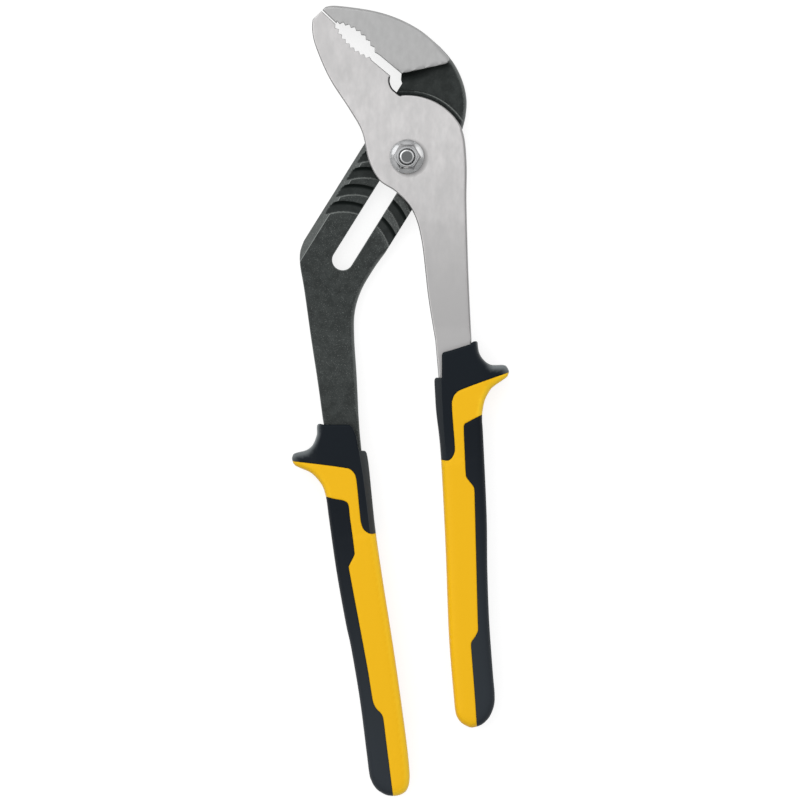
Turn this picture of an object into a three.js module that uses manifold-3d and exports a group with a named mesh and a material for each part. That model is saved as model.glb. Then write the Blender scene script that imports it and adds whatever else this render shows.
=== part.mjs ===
// Groove-joint water pump pliers, 12 inch size, lying on their back with the jaws closed at the tips.
// Millimetres, +Z out of the front face, +Y towards the jaws, origin on the pivot axis at the back of
// the bolt head. One lever carries the lower jaw, the nut and the right handle. The other passes
// behind it, carries the upper jaw and the left handle, and has a slot and arc grooves in which the
// pivot is moved to open the jaws wider.
import * as THREE from 'three';
import { mergeVertices } from 'three/addons/utils/BufferGeometryUtils.js';
import Module from 'manifold-3d';

const wasm = await Module();
wasm.setup();

// Thicknesses and fits
const FIT = 0.3; // clearance between pieces that seat on each other
const LEVER_GAP = 0.8; // running gap between the faces of the two levers
const JAW_THICKNESS = 11;
const HANDLE_THICKNESS = 8;
const TIP_GAP = 0.4; // between the jaw tips when closed

// Slot, rails and grooves of the slotted lever
const SLOT_ANGLE = 32; // degrees from the Y axis
const SLOT_WIDTH = 8.1;
const LEFT_RAIL = 12.55;
const RIGHT_RAIL = 8.45;
const SETTINGS = 7;
const GROOVE_PITCH = 7.75;
const GROOVE_RADIUS = 18.2; // inner edge of a groove, from the pivot that it serves
const GROOVE_WIDTH = 4.1;
const GROOVE_DEPTH = 1.5;
const GROOVE_SPREAD = 66; // degrees to each side of the slot
const TONGUE_HEIGHT = 0.5;
const TONGUE_SPREAD = 30;
const RAIL_BEVEL = 3;
const RAIL_BEVEL_DEPTH = 2.2;
const RECESS_RADIUS = 25.1; // machined face of the slotted lever, round the pivot
const RECESS_DEPTH = 0.8;

// Head of the front lever and the swing that it leaves room for
const HEAD_RADIUS = 23.9;
const SWING = 70; // degrees that the jaws open
const SWING_ROOM = 0.6;

// Jaws: ends and pull of the curve that each row of teeth follows
const TEETH = 8;
const TOOTH_DEPTH = 1;
const FRONT_TEETH = [[-27.3, 50], [-22.85, 41.2], [-13.4, 37.7]];
const SLOTTED_TEETH = [[-11.2, 39.2], [-17.5, 51], [-27, 51.9]];
const TIP_LINE = [[-32.8, 56.5], [-27.4, 51.4]]; // where the two tips close on each other

// Edges of the front lever as x and y pairs, clockwise from the nose of its jaw
const FRONT_NOSE = [-36.4, 53];
const FRONT_THROAT = [[-6.4, 31.3], [-6.6, 28.8], [-5.6, 26.4], [-3.7, 24.7]];
const HEAD_START = 96; // degrees
const HEAD_END = 28;
const FRONT_OUTER = [[22.4, 6], [23.1, -4], [23, -17], [23.5, -38], [24.2, -56]];
const FRONT_INNER = [[8.2, -54], [5.6, -32], [2.1, -20.7], [-4, -13.7], [-10.6, -9.1], [-14.7, -1.5],
  [-17.3, 9.5], [-22, 18], [-29.9, 30.3], [-35.2, 42.5], [-36.6, 49]];
const FRONT_TAPER = [-25, -66]; // where the face falls to the handle's
const FRONT_RAMP = [-27, -40]; // where the back falls to the handle's

// Edges of the slotted lever in the same way, from the top of its left rail
const RAIL_TOP = 23.1; // up the slot from the pivot
const HEEL_LOW = [-2.3, 29.8];
const HEEL_TOP = [-2.1, 32.2];
const SLOTTED_NOSE = [-31.4, 57.9];
const SLOTTED_CROWN = [[-27, 58.3], [-13.7, 56.5], [-3.7, 53.5], [5.2, 48.8], [12.5, 42.7], [17.9, 36.5],
  [21.4, 29.5], [23, 22.5], [22.7, 16]];
const RIGHT_RAIL_TOP = 20.5;
const RIGHT_RAIL_END = 36;
const SLOTTED_INNER = [[-12.8, -43.2], [-17.6, -51.5], [-20.1, -60], [-20.3, -70], [-19.4, -84]];
const SLOTTED_OUTER = [[-34.5, -86.3], [-37, -70], [-39.6, -51.5], [-41.2, -42], [-41.2, -36.6]];
const LEFT_RAIL_END = 48.5;
const SLOTTED_RAMP = [-66, -86]; // where the face rises to the handle's
const SLOTTED_TAPER = [-60, -76]; // where the back rises to the handle's
const BROW = [HEEL_TOP, [13, 35.5], [15.6, 36.4], [16.4, 38.4]]; // edge of the jaw's full thickness

// Pivot bolt and flange nut
const BOLT_DIAMETER = 6;
const BOLT_HEAD_DIAMETER = 16;
const BOLT_HEAD_HEIGHT = 2.2;
const BOLT_POINT = 0.8; // chamfer at the end
const BOLT_PROUD = 0.7; // above the nut
const NUT_ACROSS_FLATS = 10;
const NUT_HEIGHT = 6;
const NUT_FLANGE_DIAMETER = 13.2;
const NUT_FLANGE_HEIGHT = 1.2;
const NUT_CONE_HEIGHT = 0.9;

// Tangs inside the grips
const ARM_INNER = 7.6;
const ARM_OUTER = 6.2;
const ARM_LEAD = 14; // straight run above the inner side
const TANG_SHOULDER = 9;
const TANG_INNER = 4.5;
const TANG_OUTER = 4.5;
const TANG_TIP_OUTER = 2;
const TANG_STOP = 17; // short of the grip's end

// Grips, in their own frame: along the handle from the top of its inner side, and across it
const GRIP_THICKNESS = 16;
const GRIP_SQUARENESS = 3; // exponent of the rounded section
const GRIP_EDGES = [[-ARM_LEAD, 8.7, 8.8], [0, 8.8, 8.7], [12, 9, 8.75], [25, 8.5, 8.65], [44, 8.4, 8.45],
  [65, 8.75, 7.6]]; // along, then inner and outer edge from the middle
const GRIP_LOWER_EDGES = [[45, 9.3, 6.45], [25, 9.4, 6.35], [11, 9.1, 6.5]]; // the same, above the end
const GRIP_TIP = 2.5; // lowest point, inwards of the middle
const GRIP_INNER_ROUND = 8;
const GRIP_OUTER_ROUND = 11;
const COLLAR_TOP = 12.3; // height of the collar's outer corner above the inner side
const COLLAR_SLOPE = 2.1; // fall of the collar's top edge towards the inner side
const COLLAR_FRONT = 5.6; // inner limit of the collar's face
const COLLAR_CORNER = 2.2; // cut off where that limit meets the top edge
const GUARD_REACH = 19.9;
const GUARD_THICKNESS = 13;
const GUARD_ROUND = 2.5; // rounding of the guard's edge, seen along the handle
const GUARD_SLOPE = 15.3; // degrees, line between collar and core
const GUARD_LINE = 5.7; // where that line crosses the middle of the handle
const GUARD_ROOT = [-9, 16]; // along the handle, top and bottom
const GUARD_TOP = [[-5.2, 9.2], [-3.4, 6.5], [-3, 3]]; // along, and inwards of the guard's reach
const GUARD_NOSE = [[-2.4, 0.9], [-0.6, 0], [1.3, 0.6]];
const GUARD_UNDER = [[3.3, 3.4], [6.2, 7.4], [10.4, 9.8]];
const STRIP_LENGTH = 32.2; // collar's strip down the inner side
const STRIP_EDGE = 3.1;
const STRIP_BEND = [[1.2, 0.75], [3, 0]]; // below the guard line, and outwards of the strip's edge
const STRIP_END = [[4, 0], [1.4, 1.2], [0, 3.4], [0.6, 5.4]]; // above its end, and inwards of its edge
const PAD_TOP = 18.4;
const PAD_DEPTH = 2;
const PAD_RISE = 5.4; // of the top edge towards the outer side
const PAD_CORNER = [[0, 1.6], [0.7, 0.5], [2.4, 0]]; // below the top, and outwards of the edge line
const PAD_EDGE = 0.6; // upper edge line, outwards of the middle
const PAD_WAIST_EDGE = 3.4; // top and bottom of the narrow waist
const PAD_WAIST_FOOT = 1.55;
const PAD_WAIST_TOP = 38.8;
const PAD_FOOT_EDGE = 1.5; // lower edge line, inwards of the middle
const PAD_FOOT = 32.6; // length of the wide foot above the handle's end
const PAD_KINK = 5.3; // length of each step in the edge

// Where each grip starts, how it leans in degrees and how long it is
const LEFT_GRIP = { side: -1, x: -24.55, y: -114.4, turn: 7.57, length: 133.7 };
const RIGHT_GRIP = { side: 1, x: 19.4, y: -84.4, turn: 3.58, length: 136 };

// Levels
const Z_BACK = BOLT_HEAD_HEIGHT + FIT;
const Z_FACE = Z_BACK + JAW_THICKNESS;
const Z_MID = (Z_BACK + Z_FACE) / 2;
const Z_REAR_FACE = Z_MID - LEVER_GAP / 2;
const Z_FRONT_BACK = Z_MID + LEVER_GAP / 2;
const Z_HANDLE_BACK = Z_MID - HANDLE_THICKNESS / 2;
const Z_HANDLE_FACE = Z_MID + HANDLE_THICKNESS / 2;
const FAR = 300;
const ARC_STEPS = 8;
const ROUND_SIDES = 32;

const rad = THREE.MathUtils.degToRad;
const at = (x, y) => new THREE.Vector2(x, y);
const vectors = (pairs) => pairs.map(([x, y]) => at(x, y));
const polar = (radius, degrees) => at(radius * Math.cos(rad(degrees)), radius * Math.sin(rad(degrees)));

// Directions of the slot: down the handle, and across it to the right
const slotDown = polar(1, -90 - SLOT_ANGLE);
const slotAcross = polar(1, -SLOT_ANGLE);
const onSlot = (down, across) => slotDown.clone().multiplyScalar(down).addScaledVector(slotAcross, across);
const slotEnd = (SETTINGS - 1) * GROOVE_PITCH + FIT;
const railLeft = -SLOT_WIDTH / 2 - LEFT_RAIL;
const railRight = SLOT_WIDTH / 2 + RIGHT_RAIL;

// Closed mesh to solid, and back to a named mesh
function toSolid(geometry) {
  geometry.deleteAttribute('normal');
  geometry.deleteAttribute('uv');
  const merged = mergeVertices(geometry);
  const vertProperties = new Float32Array(merged.attributes.position.array);
  const triVerts = new Uint32Array(merged.index.array);
  return new wasm.Manifold(new wasm.Mesh({ numProp: 3, vertProperties, triVerts }));
}

function toMesh(name, solid, material) {
  const { vertProperties, triVerts } = solid.getMesh();
  const geometry = new THREE.BufferGeometry();
  geometry.setAttribute('position', new THREE.BufferAttribute(vertProperties, 3));
  geometry.setIndex(new THREE.BufferAttribute(triVerts, 1));
  const mesh = new THREE.Mesh(geometry, material);
  mesh.name = name;
  return mesh;
}

// Upright prism over a flat outline, given as a Shape or as its corners
function prism(outline, low, high) {
  const shape = outline instanceof THREE.Shape ? outline : new THREE.Shape(outline);
  const depth = high - low;
  const geometry = new THREE.ExtrudeGeometry(shape, { depth, curveSegments: ARC_STEPS, bevelEnabled: false });
  geometry.translate(0, 0, low);
  return toSolid(geometry);
}

// Body of revolution about the Z axis, from radius and height pairs
function turned(profile, segments) {
  const geometry = new THREE.LatheGeometry(profile.map(([r, z]) => at(r, z)), segments);
  geometry.rotateX(Math.PI / 2);
  return toSolid(geometry);
}

// Bar with a flat section, swept along a direction that lies in the plane
function bar(section, origin, across, along, length) {
  const shape = new THREE.Shape(section);
  const geometry = new THREE.ExtrudeGeometry(shape, { depth: length, bevelEnabled: false });
  const up = new THREE.Vector3(0, 0, 1);
  const basis = new THREE.Matrix4().makeBasis(
    new THREE.Vector3(across.x, across.y, 0), up, new THREE.Vector3(along.x, along.y, 0));
  geometry.applyMatrix4(basis.setPosition(origin.x, origin.y, 0));
  return toSolid(geometry);
}

// Skin through rings of points, closed by a fan at each end
function loft(rings, flip) {
  const sides = rings[0].length;
  const points = rings.flat();
  const faces = [];
  const face = (a, b, c) => faces.push(...(flip ? [a, c, b] : [a, b, c]));
  for (let i = 0; i + 1 < rings.length; i++) {
    for (let j = 0; j < sides; j++) {
      const a = i * sides + j;
      const b = i * sides + (j + 1) % sides;
      face(a, b, a + sides);
      face(b, b + sides, a + sides);
    }
  }
  for (const [ring, turn] of [[0, false], [rings.length - 1, true]]) {
    const hub = points.length;
    const centre = new THREE.Vector3();
    rings[ring].forEach((point) => centre.addScaledVector(point, 1 / sides));
    points.push(centre);
    for (let j = 0; j < sides; j++) {
      const a = ring * sides + j;
      const b = ring * sides + (j + 1) % sides;
      face(hub, turn ? a : b, turn ? b : a);
    }
  }
  const geometry = new THREE.BufferGeometry().setFromPoints(points);
  geometry.setIndex(faces);
  return toSolid(geometry);
}

// Row of teeth along a curve, half standing out to the left of its run and half cut in
function toothedEdge(curve) {
  const points = [];
  for (let i = 0; i <= 2 * TEETH; i++) {
    const t = i / (2 * TEETH);
    const tangent = curve.getTangent(t);
    const out = (i % 2 ? 0.5 : -0.5) * TOOTH_DEPTH;
    points.push(curve.getPoint(t).add(at(-tangent.y, tangent.x).multiplyScalar(out)));
  }
  return points;
}

// Ring sector about a point, spread evenly to both sides of the slot's upward direction
function grooveSector(centre, inner, outer, spread) {
  const middle = 90 - SLOT_ANGLE;
  const shape = new THREE.Shape();
  shape.absarc(centre.x, centre.y, outer, rad(middle - spread), rad(middle + spread), false);
  shape.absarc(centre.x, centre.y, inner, rad(middle + spread), rad(middle - spread), true);
  return shape;
}

// Place of a point of a grip's own frame on the whole tool
function onGrip(grip, along, across) {
  const local = at(grip.side * across, -along);
  return local.rotateAround(at(0, 0), rad(grip.turn)).add(at(grip.x, grip.y));
}

// Handle end of a lever inside its grip, grown by a clearance for the pocket that takes it
function tang(grip, room = 0) {
  const end = grip.length - TANG_STOP + room;
  const corners = [
    [-ARM_LEAD - room, -ARM_INNER - room],
    [0, -ARM_INNER - room],
    [TANG_SHOULDER, -TANG_INNER - room],
    [end, -TANG_INNER - room],
    [end, TANG_TIP_OUTER + room],
    [TANG_SHOULDER, TANG_OUTER + room],
    [0, ARM_OUTER + room],
    [-ARM_LEAD - room, ARM_OUTER + room],
  ];
  const outline = corners.map(([along, across]) => at(grip.side * across, -along));
  return prism(outline, Z_HANDLE_BACK - room, Z_HANDLE_FACE + room);
}

function placedTang(grip) {
  const turn = new THREE.Matrix4().makeRotationZ(rad(grip.turn)).setPosition(grip.x, grip.y, 0);
  return tang(grip).transform(turn.toArray());
}

// Side view of a lever, as height over the Y axis, swept right through its width
function sideProfile(outline) {
  const section = outline.map(([y, z]) => at(-y, z));
  return bar(section, at(FAR, 0), at(0, -1), at(-1, 0), 2 * FAR);
}

// Closing line of the two jaw tips, moved half the gap to one side
const tipLine = vectors(TIP_LINE);
const tipRun = tipLine[1].clone().sub(tipLine[0]).normalize();
const tipAway = at(-tipRun.y, tipRun.x);
const tipPoint = (end, side) => tipLine[end].clone().addScaledVector(tipAway, side * TIP_GAP / 2);

// Outline of the front lever: lower jaw, throat, round head and arm
function frontOutline() {
  const gripFace = new THREE.QuadraticBezierCurve(...vectors(FRONT_TEETH));
  const shape = new THREE.Shape();
  shape.moveTo(...FRONT_NOSE);
  shape.lineTo(...tipPoint(0, -1));
  shape.lineTo(...tipPoint(1, -1));
  toothedEdge(gripFace).forEach((point) => shape.lineTo(...point));
  shape.lineTo(...FRONT_THROAT[0]);
  shape.splineThru([...vectors(FRONT_THROAT.slice(1)), polar(HEAD_RADIUS, HEAD_START)]);
  shape.absarc(0, 0, HEAD_RADIUS, rad(HEAD_START), rad(HEAD_END), true);
  shape.splineThru([...vectors(FRONT_OUTER), onGrip(RIGHT_GRIP, -ARM_LEAD, ARM_OUTER)]);
  shape.lineTo(...onGrip(RIGHT_GRIP, -ARM_LEAD, -ARM_INNER));
  shape.splineThru(vectors(FRONT_INNER));
  return shape;
}

// Outline of the slotted lever: upper jaw, rails on both sides of the slot and bent arm
function slottedOutline() {
  const gripFace = new THREE.QuadraticBezierCurve(...vectors(SLOTTED_TEETH));
  const shape = new THREE.Shape();
  shape.moveTo(...onSlot(-RAIL_TOP, railLeft));
  shape.lineTo(...HEEL_LOW);
  shape.lineTo(...HEEL_TOP);
  toothedEdge(gripFace).forEach((point) => shape.lineTo(...point));
  shape.lineTo(...tipPoint(1, 1));
  shape.lineTo(...tipPoint(0, 1));
  shape.lineTo(...SLOTTED_NOSE);
  shape.splineThru([...vectors(SLOTTED_CROWN), onSlot(-RIGHT_RAIL_TOP, railRight)]);
  shape.lineTo(...onSlot(RIGHT_RAIL_END, railRight));
  shape.splineThru([...vectors(SLOTTED_INNER), onGrip(LEFT_GRIP, -ARM_LEAD, -ARM_INNER)]);
  shape.lineTo(...onGrip(LEFT_GRIP, -ARM_LEAD, ARM_OUTER));
  shape.splineThru([...vectors(SLOTTED_OUTER), onSlot(LEFT_RAIL_END, railLeft)]);
  return shape;
}

function boltHole() {
  const radius = BOLT_DIAMETER / 2 + FIT;
  return turned([[0, 0], [radius, 0], [radius, FAR], [0, FAR]], ROUND_SIDES);
}

// Full-thickness part of the lower jaw: what the slotted lever's left edge never sweeps through
function sweptClear() {
  const reach = -railLeft + SWING_ROOM;
  const closed = 180 - SLOT_ANGLE;
  const half = SWING / 2;
  const corner = polar(reach / Math.cos(rad(half)), closed - half);
  const beside = polar(FAR, closed - 90).add(corner);
  const below = polar(FAR, closed - SWING + 90).add(corner);
  return [corner, beside, polar(FAR, closed - half).add(corner), below];
}

function frontLever() {
  const outline = frontOutline();
  const side = sideProfile([
    [FAR, Z_FACE], [FRONT_TAPER[0], Z_FACE], [FRONT_TAPER[1], Z_HANDLE_FACE], [-FAR, Z_HANDLE_FACE],
    [-FAR, Z_HANDLE_BACK], [FRONT_RAMP[1], Z_HANDLE_BACK], [FRONT_RAMP[0], Z_FRONT_BACK], [FAR, Z_FRONT_BACK],
  ]);
  const jaw = prism(outline, Z_BACK, Z_FACE).intersect(prism(sweptClear(), 0, FAR));
  const tongue = prism(
    grooveSector(at(0, 0), GROOVE_RADIUS + FIT, GROOVE_RADIUS + GROOVE_WIDTH - FIT, TONGUE_SPREAD),
    Z_FRONT_BACK - TONGUE_HEIGHT, Z_MID + LEVER_GAP);
  const plate = prism(outline, 0, FAR).add(placedTang(RIGHT_GRIP)).intersect(side);
  return plate.add(jaw).add(tongue).subtract(boltHole());
}

function slotOutline() {
  const half = SLOT_WIDTH / 2;
  const top = onSlot(0, 0);
  const bottom = onSlot(slotEnd, 0);
  const shape = new THREE.Shape();
  shape.absarc(top.x, top.y, half, rad(-SLOT_ANGLE), rad(180 - SLOT_ANGLE), false);
  shape.absarc(bottom.x, bottom.y, half, rad(180 - SLOT_ANGLE), rad(360 - SLOT_ANGLE), false);
  return shape;
}

function slottedLever() {
  const outline = slottedOutline();
  const side = sideProfile([
    [FAR, Z_REAR_FACE], [SLOTTED_RAMP[0], Z_REAR_FACE], [SLOTTED_RAMP[1], Z_HANDLE_FACE],
    [-FAR, Z_HANDLE_FACE], [-FAR, Z_HANDLE_BACK], [SLOTTED_TAPER[1], Z_HANDLE_BACK],
    [SLOTTED_TAPER[0], Z_BACK], [FAR, Z_BACK],
  ]);
  let lever = prism(outline, 0, FAR).add(placedTang(LEFT_GRIP)).intersect(side);
  lever = lever.subtract(prism(slotOutline(), 0, FAR));
  for (let setting = 0; setting < SETTINGS; setting++) {
    const sector = grooveSector(onSlot(setting * GROOVE_PITCH, 0),
      GROOVE_RADIUS, GROOVE_RADIUS + GROOVE_WIDTH, GROOVE_SPREAD);
    lever = lever.subtract(prism(sector, Z_REAR_FACE - GROOVE_DEPTH, Z_FACE));
  }
  const bevelFoot = Z_REAR_FACE - RAIL_BEVEL_DEPTH;
  const bevel = [at(railLeft - RAIL_BEVEL, Z_FACE), at(railLeft - RAIL_BEVEL, bevelFoot),
    at(railLeft, bevelFoot), at(railLeft + RAIL_BEVEL, Z_REAR_FACE), at(railLeft + RAIL_BEVEL, Z_FACE)];
  const bevelEnd = LEFT_RAIL_END + 3 * RAIL_BEVEL;
  lever = lever.subtract(bar(bevel, onSlot(-RAIL_TOP, 0), slotAcross, slotDown, RAIL_TOP + bevelEnd));
  const recess = new THREE.Shape();
  recess.absarc(0, 0, 2 * RECESS_RADIUS, rad(0), rad(180 - SLOT_ANGLE / 2), false);
  recess.absarc(0, 0, RECESS_RADIUS, rad(180 - SLOT_ANGLE / 2), rad(0), true);
  lever = lever.subtract(prism(recess, Z_REAR_FACE - RECESS_DEPTH, Z_FACE));
  const brow = vectors(BROW);
  const aboveBrow = [at(-FAR, brow[0].y), ...brow, at(FAR, FAR), at(-FAR, FAR)];
  return lever.add(prism(outline, Z_BACK, Z_FACE).intersect(prism(aboveBrow, 0, FAR)));
}

// Bolt with a flat round head behind the rails and a thicker neck that rides in the slot
function pivotBolt() {
  const radius = BOLT_DIAMETER / 2;
  const head = BOLT_HEAD_DIAMETER / 2;
  const neck = SLOT_WIDTH / 2 - FIT;
  const edge = BOLT_HEAD_HEIGHT / 3;
  const top = Z_FACE + FIT + NUT_HEIGHT + BOLT_PROUD;
  return turned([
    [0, 0], [head - edge, 0], [head, edge], [head, BOLT_HEAD_HEIGHT], [neck, BOLT_HEAD_HEIGHT],
    [neck, Z_REAR_FACE], [radius, Z_REAR_FACE], [radius, top - BOLT_POINT], [radius - BOLT_POINT, top],
    [0, top],
  ], ROUND_SIDES);
}

function flangeNut() {
  const seat = Z_FACE + FIT;
  const flange = NUT_FLANGE_DIAMETER / 2;
  const flat = NUT_ACROSS_FLATS / 2;
  const shoulder = seat + NUT_FLANGE_HEIGHT;
  const skirt = turned([
    [0, seat], [flange, seat], [flange, shoulder], [flat, shoulder + NUT_CONE_HEIGHT],
    [0, shoulder + NUT_CONE_HEIGHT],
  ], ROUND_SIDES);
  const corner = flat / Math.cos(rad(30));
  const hexagon = [0, 60, 120, 180, 240, 300].map((degrees) => polar(corner, degrees));
  const crown = turned([
    [0, seat], [corner, seat], [corner, seat + NUT_HEIGHT - (corner - flat)], [flat, seat + NUT_HEIGHT],
    [0, seat + NUT_HEIGHT],
  ], ROUND_SIDES);
  const hex = prism(hexagon, seat, seat + NUT_HEIGHT).intersect(crown);
  return skirt.add(hex).subtract(boltHole());
}

// Rounded body of a grip: inner and outer edges run along the handle, the end is domed
function gripBody(grip, inset = 0) {
  const lower = GRIP_LOWER_EDGES.map(([above, inner, outer]) => [grip.length - above, inner, outer]);
  const rows = [...GRIP_EDGES, ...lower];
  const edges = new THREE.CatmullRomCurve3(rows.map((row) => new THREE.Vector3(...row)), false, 'catmullrom');
  const stations = edges.getPoints(2 * (rows.length - 1)).map(({ x, y, z }) => [x, y, z, 1]);
  const [, inner, outer] = stations[stations.length - 1];
  const dome = (above, round) => Math.sqrt(1 - Math.max(0, 1 - above / round) ** 2);
  for (const share of [0.72, 0.5, 0.32, 0.17, 0.06, 0.01]) {
    const above = share * GRIP_OUTER_ROUND;
    const inside = GRIP_TIP + (inner - GRIP_TIP) * dome(above, GRIP_INNER_ROUND);
    const outside = (outer + GRIP_TIP) * dome(above, GRIP_OUTER_ROUND) - GRIP_TIP;
    stations.push([grip.length - above - inset, inside, outside, dome(above, GRIP_INNER_ROUND)]);
  }
  const soften = (value) => Math.sign(value) * Math.abs(value) ** (2 / GRIP_SQUARENESS);
  const sides = 24;
  const rings = stations.map(([along, inside, outside, scale]) => {
    const middle = (outside - inside) / 2;
    const halfWidth = Math.max((outside + inside) / 2 - inset, FIT);
    const halfHeight = (GRIP_THICKNESS / 2 - inset) * Math.sqrt(scale);
    return Array.from({ length: sides }, (_, i) => {
      const angle = 2 * Math.PI * i / sides;
      const across = middle + halfWidth * soften(Math.cos(angle));
      return new THREE.Vector3(grip.side * across, -along, Z_MID + halfHeight * soften(Math.sin(angle)));
    });
  });
  return loft(rings, grip.side < 0);
}

// Flat outline in a grip's frame from along and across pairs
function gripShape(grip, pairs) {
  return new THREE.Shape(pairs.map(([along, across]) => at(grip.side * across, -along)));
}

// Thumb guard that stands out from the side of the grip
function guard(grip) {
  const shape = new THREE.Shape();
  const to = (along, across) => at(grip.side * across, -along);
  const side = GRIP_EDGES[1][2];
  const edge = (pairs) => pairs.map(([along, inwards]) => to(along, GUARD_REACH - inwards));
  shape.moveTo(...to(GUARD_ROOT[0], side / 2));
  shape.lineTo(...to(GUARD_ROOT[0], side));
  shape.splineThru(edge(GUARD_TOP));
  shape.splineThru(edge(GUARD_NOSE));
  shape.splineThru([...edge(GUARD_UNDER), to(GUARD_ROOT[1], side)]);
  shape.lineTo(...to(GUARD_ROOT[1], side / 2));
  const half = GUARD_THICKNESS / 2;
  const section = [at(0, Z_MID - half), at(GUARD_REACH - GUARD_ROUND, Z_MID - half),
    at(GUARD_REACH, Z_MID - half + GUARD_ROUND), at(GUARD_REACH, Z_MID + half - GUARD_ROUND),
    at(GUARD_REACH - GUARD_ROUND, Z_MID + half), at(0, Z_MID + half)];
  const across = at(grip.side, 0);
  const along = at(0, -grip.side);
  const rounded = bar(section, along.clone().multiplyScalar(-FAR), across, along, 2 * FAR);
  return prism(shape, 0, FAR).intersect(rounded);
}

// Face region of the collar: top block, guard above its slanting line, and strip down the inner side
function collarRegion(grip, room = 0) {
  const rise = Math.tan(rad(GUARD_SLOPE));
  const line = (across) => GUARD_LINE + room - across * rise;
  const edge = -STRIP_EDGE + room;
  const end = STRIP_LENGTH + room;
  const far = 2 * GUARD_REACH;
  const inner = -GRIP_THICKNESS;
  const top = COLLAR_SLOPE - COLLAR_TOP;
  return prism(gripShape(grip, [
    [-2 * COLLAR_TOP, far], [line(far), far], [line(0), 0],
    ...STRIP_BEND.map(([below, outwards]) => [line(0) + below, edge + outwards]),
    ...STRIP_END.map(([above, inwards]) => [end - above, edge - inwards]),
    [end - STRIP_END[0][0], inner], [0, inner], [0, -COLLAR_FRONT], [top + COLLAR_CORNER, -COLLAR_FRONT],
    [top, COLLAR_CORNER - COLLAR_FRONT], [-COLLAR_TOP, GRIP_THICKNESS / 2],
  ]), -FAR, FAR);
}

// Face region of the pad: a band down the outer side with a step out and a step back in
function padRegion(grip, room = 0) {
  const far = 2 * GUARD_REACH;
  const foot = grip.length - PAD_FOOT - room;
  const end = grip.length + PAD_KINK;
  return prism(gripShape(grip, [
    [PAD_TOP - PAD_RISE - room, GRIP_THICKNESS],
    ...PAD_CORNER.map(([below, outwards]) => [PAD_TOP + below - room, PAD_EDGE + outwards - room]),
    [PAD_WAIST_TOP, PAD_EDGE - room], [PAD_WAIST_TOP + PAD_KINK, PAD_WAIST_EDGE - room],
    [foot - PAD_KINK, PAD_WAIST_FOOT - room], [foot, -PAD_FOOT_EDGE - room],
    [end, -PAD_FOOT_EDGE - room], [end, far],
  ]), -FAR, FAR);
}

function gripPieces(name, grip) {
  const body = gripBody(grip).add(guard(grip));
  const pocket = tang(grip, FIT);
  const collar = body.intersect(collarRegion(grip)).subtract(pocket);
  const pad = body.intersect(padRegion(grip)).subtract(gripBody(grip, PAD_DEPTH));
  const padSeat = padRegion(grip, FIT).subtract(gripBody(grip, PAD_DEPTH + FIT));
  const aboveCore = [[-FAR, FAR], [0, FAR], [0, -FAR], [-FAR, -FAR]];
  const bare = prism(gripShape(grip, aboveCore), -FAR, FAR).subtract(guard(grip));
  const core = body.subtract(collarRegion(grip, FIT)).subtract(padSeat).subtract(pocket).subtract(bare);
  const group = new THREE.Group();
  group.position.set(grip.x, grip.y, 0);
  group.rotation.z = rad(grip.turn);
  group.add(
    toMesh(`${name}_grip_core`, core, yellowPlastic),
    toMesh(`${name}_grip_collar`, collar, blackPlastic),
    toMesh(`${name}_grip_pad`, pad, blackRubber),
  );
  return group;
}

const groundSteel = new THREE.MeshStandardMaterial({ color: '#cfcdcd', roughness: 0.35, metalness: 1 });
const darkSteel = new THREE.MeshStandardMaterial({ color: '#3a3e3d', roughness: 0.6, metalness: 0.8 });
const zincSteel = new THREE.MeshStandardMaterial({ color: '#c4c6c8', roughness: 0.25, metalness: 1 });
const yellowPlastic = new THREE.MeshStandardMaterial({ color: '#edb91c', roughness: 0.45, metalness: 0 });
const blackPlastic = new THREE.MeshStandardMaterial({ color: '#1d2126', roughness: 0.5, metalness: 0 });
const blackRubber = new THREE.MeshStandardMaterial({ color: '#26292d', roughness: 0.7, metalness: 0 });

const pliers = new THREE.Group();
pliers.add(
  toMesh('front_lever', frontLever(), groundSteel),
  toMesh('slotted_lever', slottedLever(), darkSteel),
  toMesh('pivot_bolt', pivotBolt(), zincSteel),
  toMesh('flange_nut', flangeNut(), zincSteel),
  gripPieces('left', LEFT_GRIP),
  gripPieces('right', RIGHT_GRIP),
);

export default pliers;
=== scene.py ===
"""Looks of a pair of groove-joint water pump pliers, photographed flat on white from straight above."""

import logging
import math
from abc import ABC, abstractmethod
from dataclasses import dataclass, field
from enum import Enum
from typing import Sequence

import bpy
import numpy as np
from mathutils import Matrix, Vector, geometry


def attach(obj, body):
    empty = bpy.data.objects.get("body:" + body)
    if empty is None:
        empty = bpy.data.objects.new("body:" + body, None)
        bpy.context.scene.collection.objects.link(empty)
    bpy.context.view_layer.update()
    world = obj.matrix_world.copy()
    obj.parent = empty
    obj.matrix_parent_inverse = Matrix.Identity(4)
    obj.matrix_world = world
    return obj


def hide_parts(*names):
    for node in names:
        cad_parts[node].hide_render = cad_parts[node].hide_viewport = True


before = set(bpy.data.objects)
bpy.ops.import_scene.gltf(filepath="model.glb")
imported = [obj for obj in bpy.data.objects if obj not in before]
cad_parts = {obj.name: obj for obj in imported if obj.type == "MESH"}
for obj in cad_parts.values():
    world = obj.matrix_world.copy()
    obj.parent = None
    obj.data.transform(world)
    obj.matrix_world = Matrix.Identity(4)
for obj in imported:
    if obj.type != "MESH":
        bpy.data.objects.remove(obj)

log = logging.getLogger("pliers")

Array = np.ndarray
Pair = tuple[float, float]
Row = tuple[float, ...]
Table = tuple[Row, Row]

# Metres in a millimetre, the unit of every size below
MM = 0.001

# Points that are measured against a line at a time, which keeps the tables of distances small
LOT = 2000

# Sizes that more than one piece shares
FIT = 0.3
BOLT_HEAD = 2.2
JAW_THICKNESS = 11.0
HANDLE_THICKNESS = 8.0
RUNNING_GAP = 0.8
RAIL_LEFT = -16.6

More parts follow.
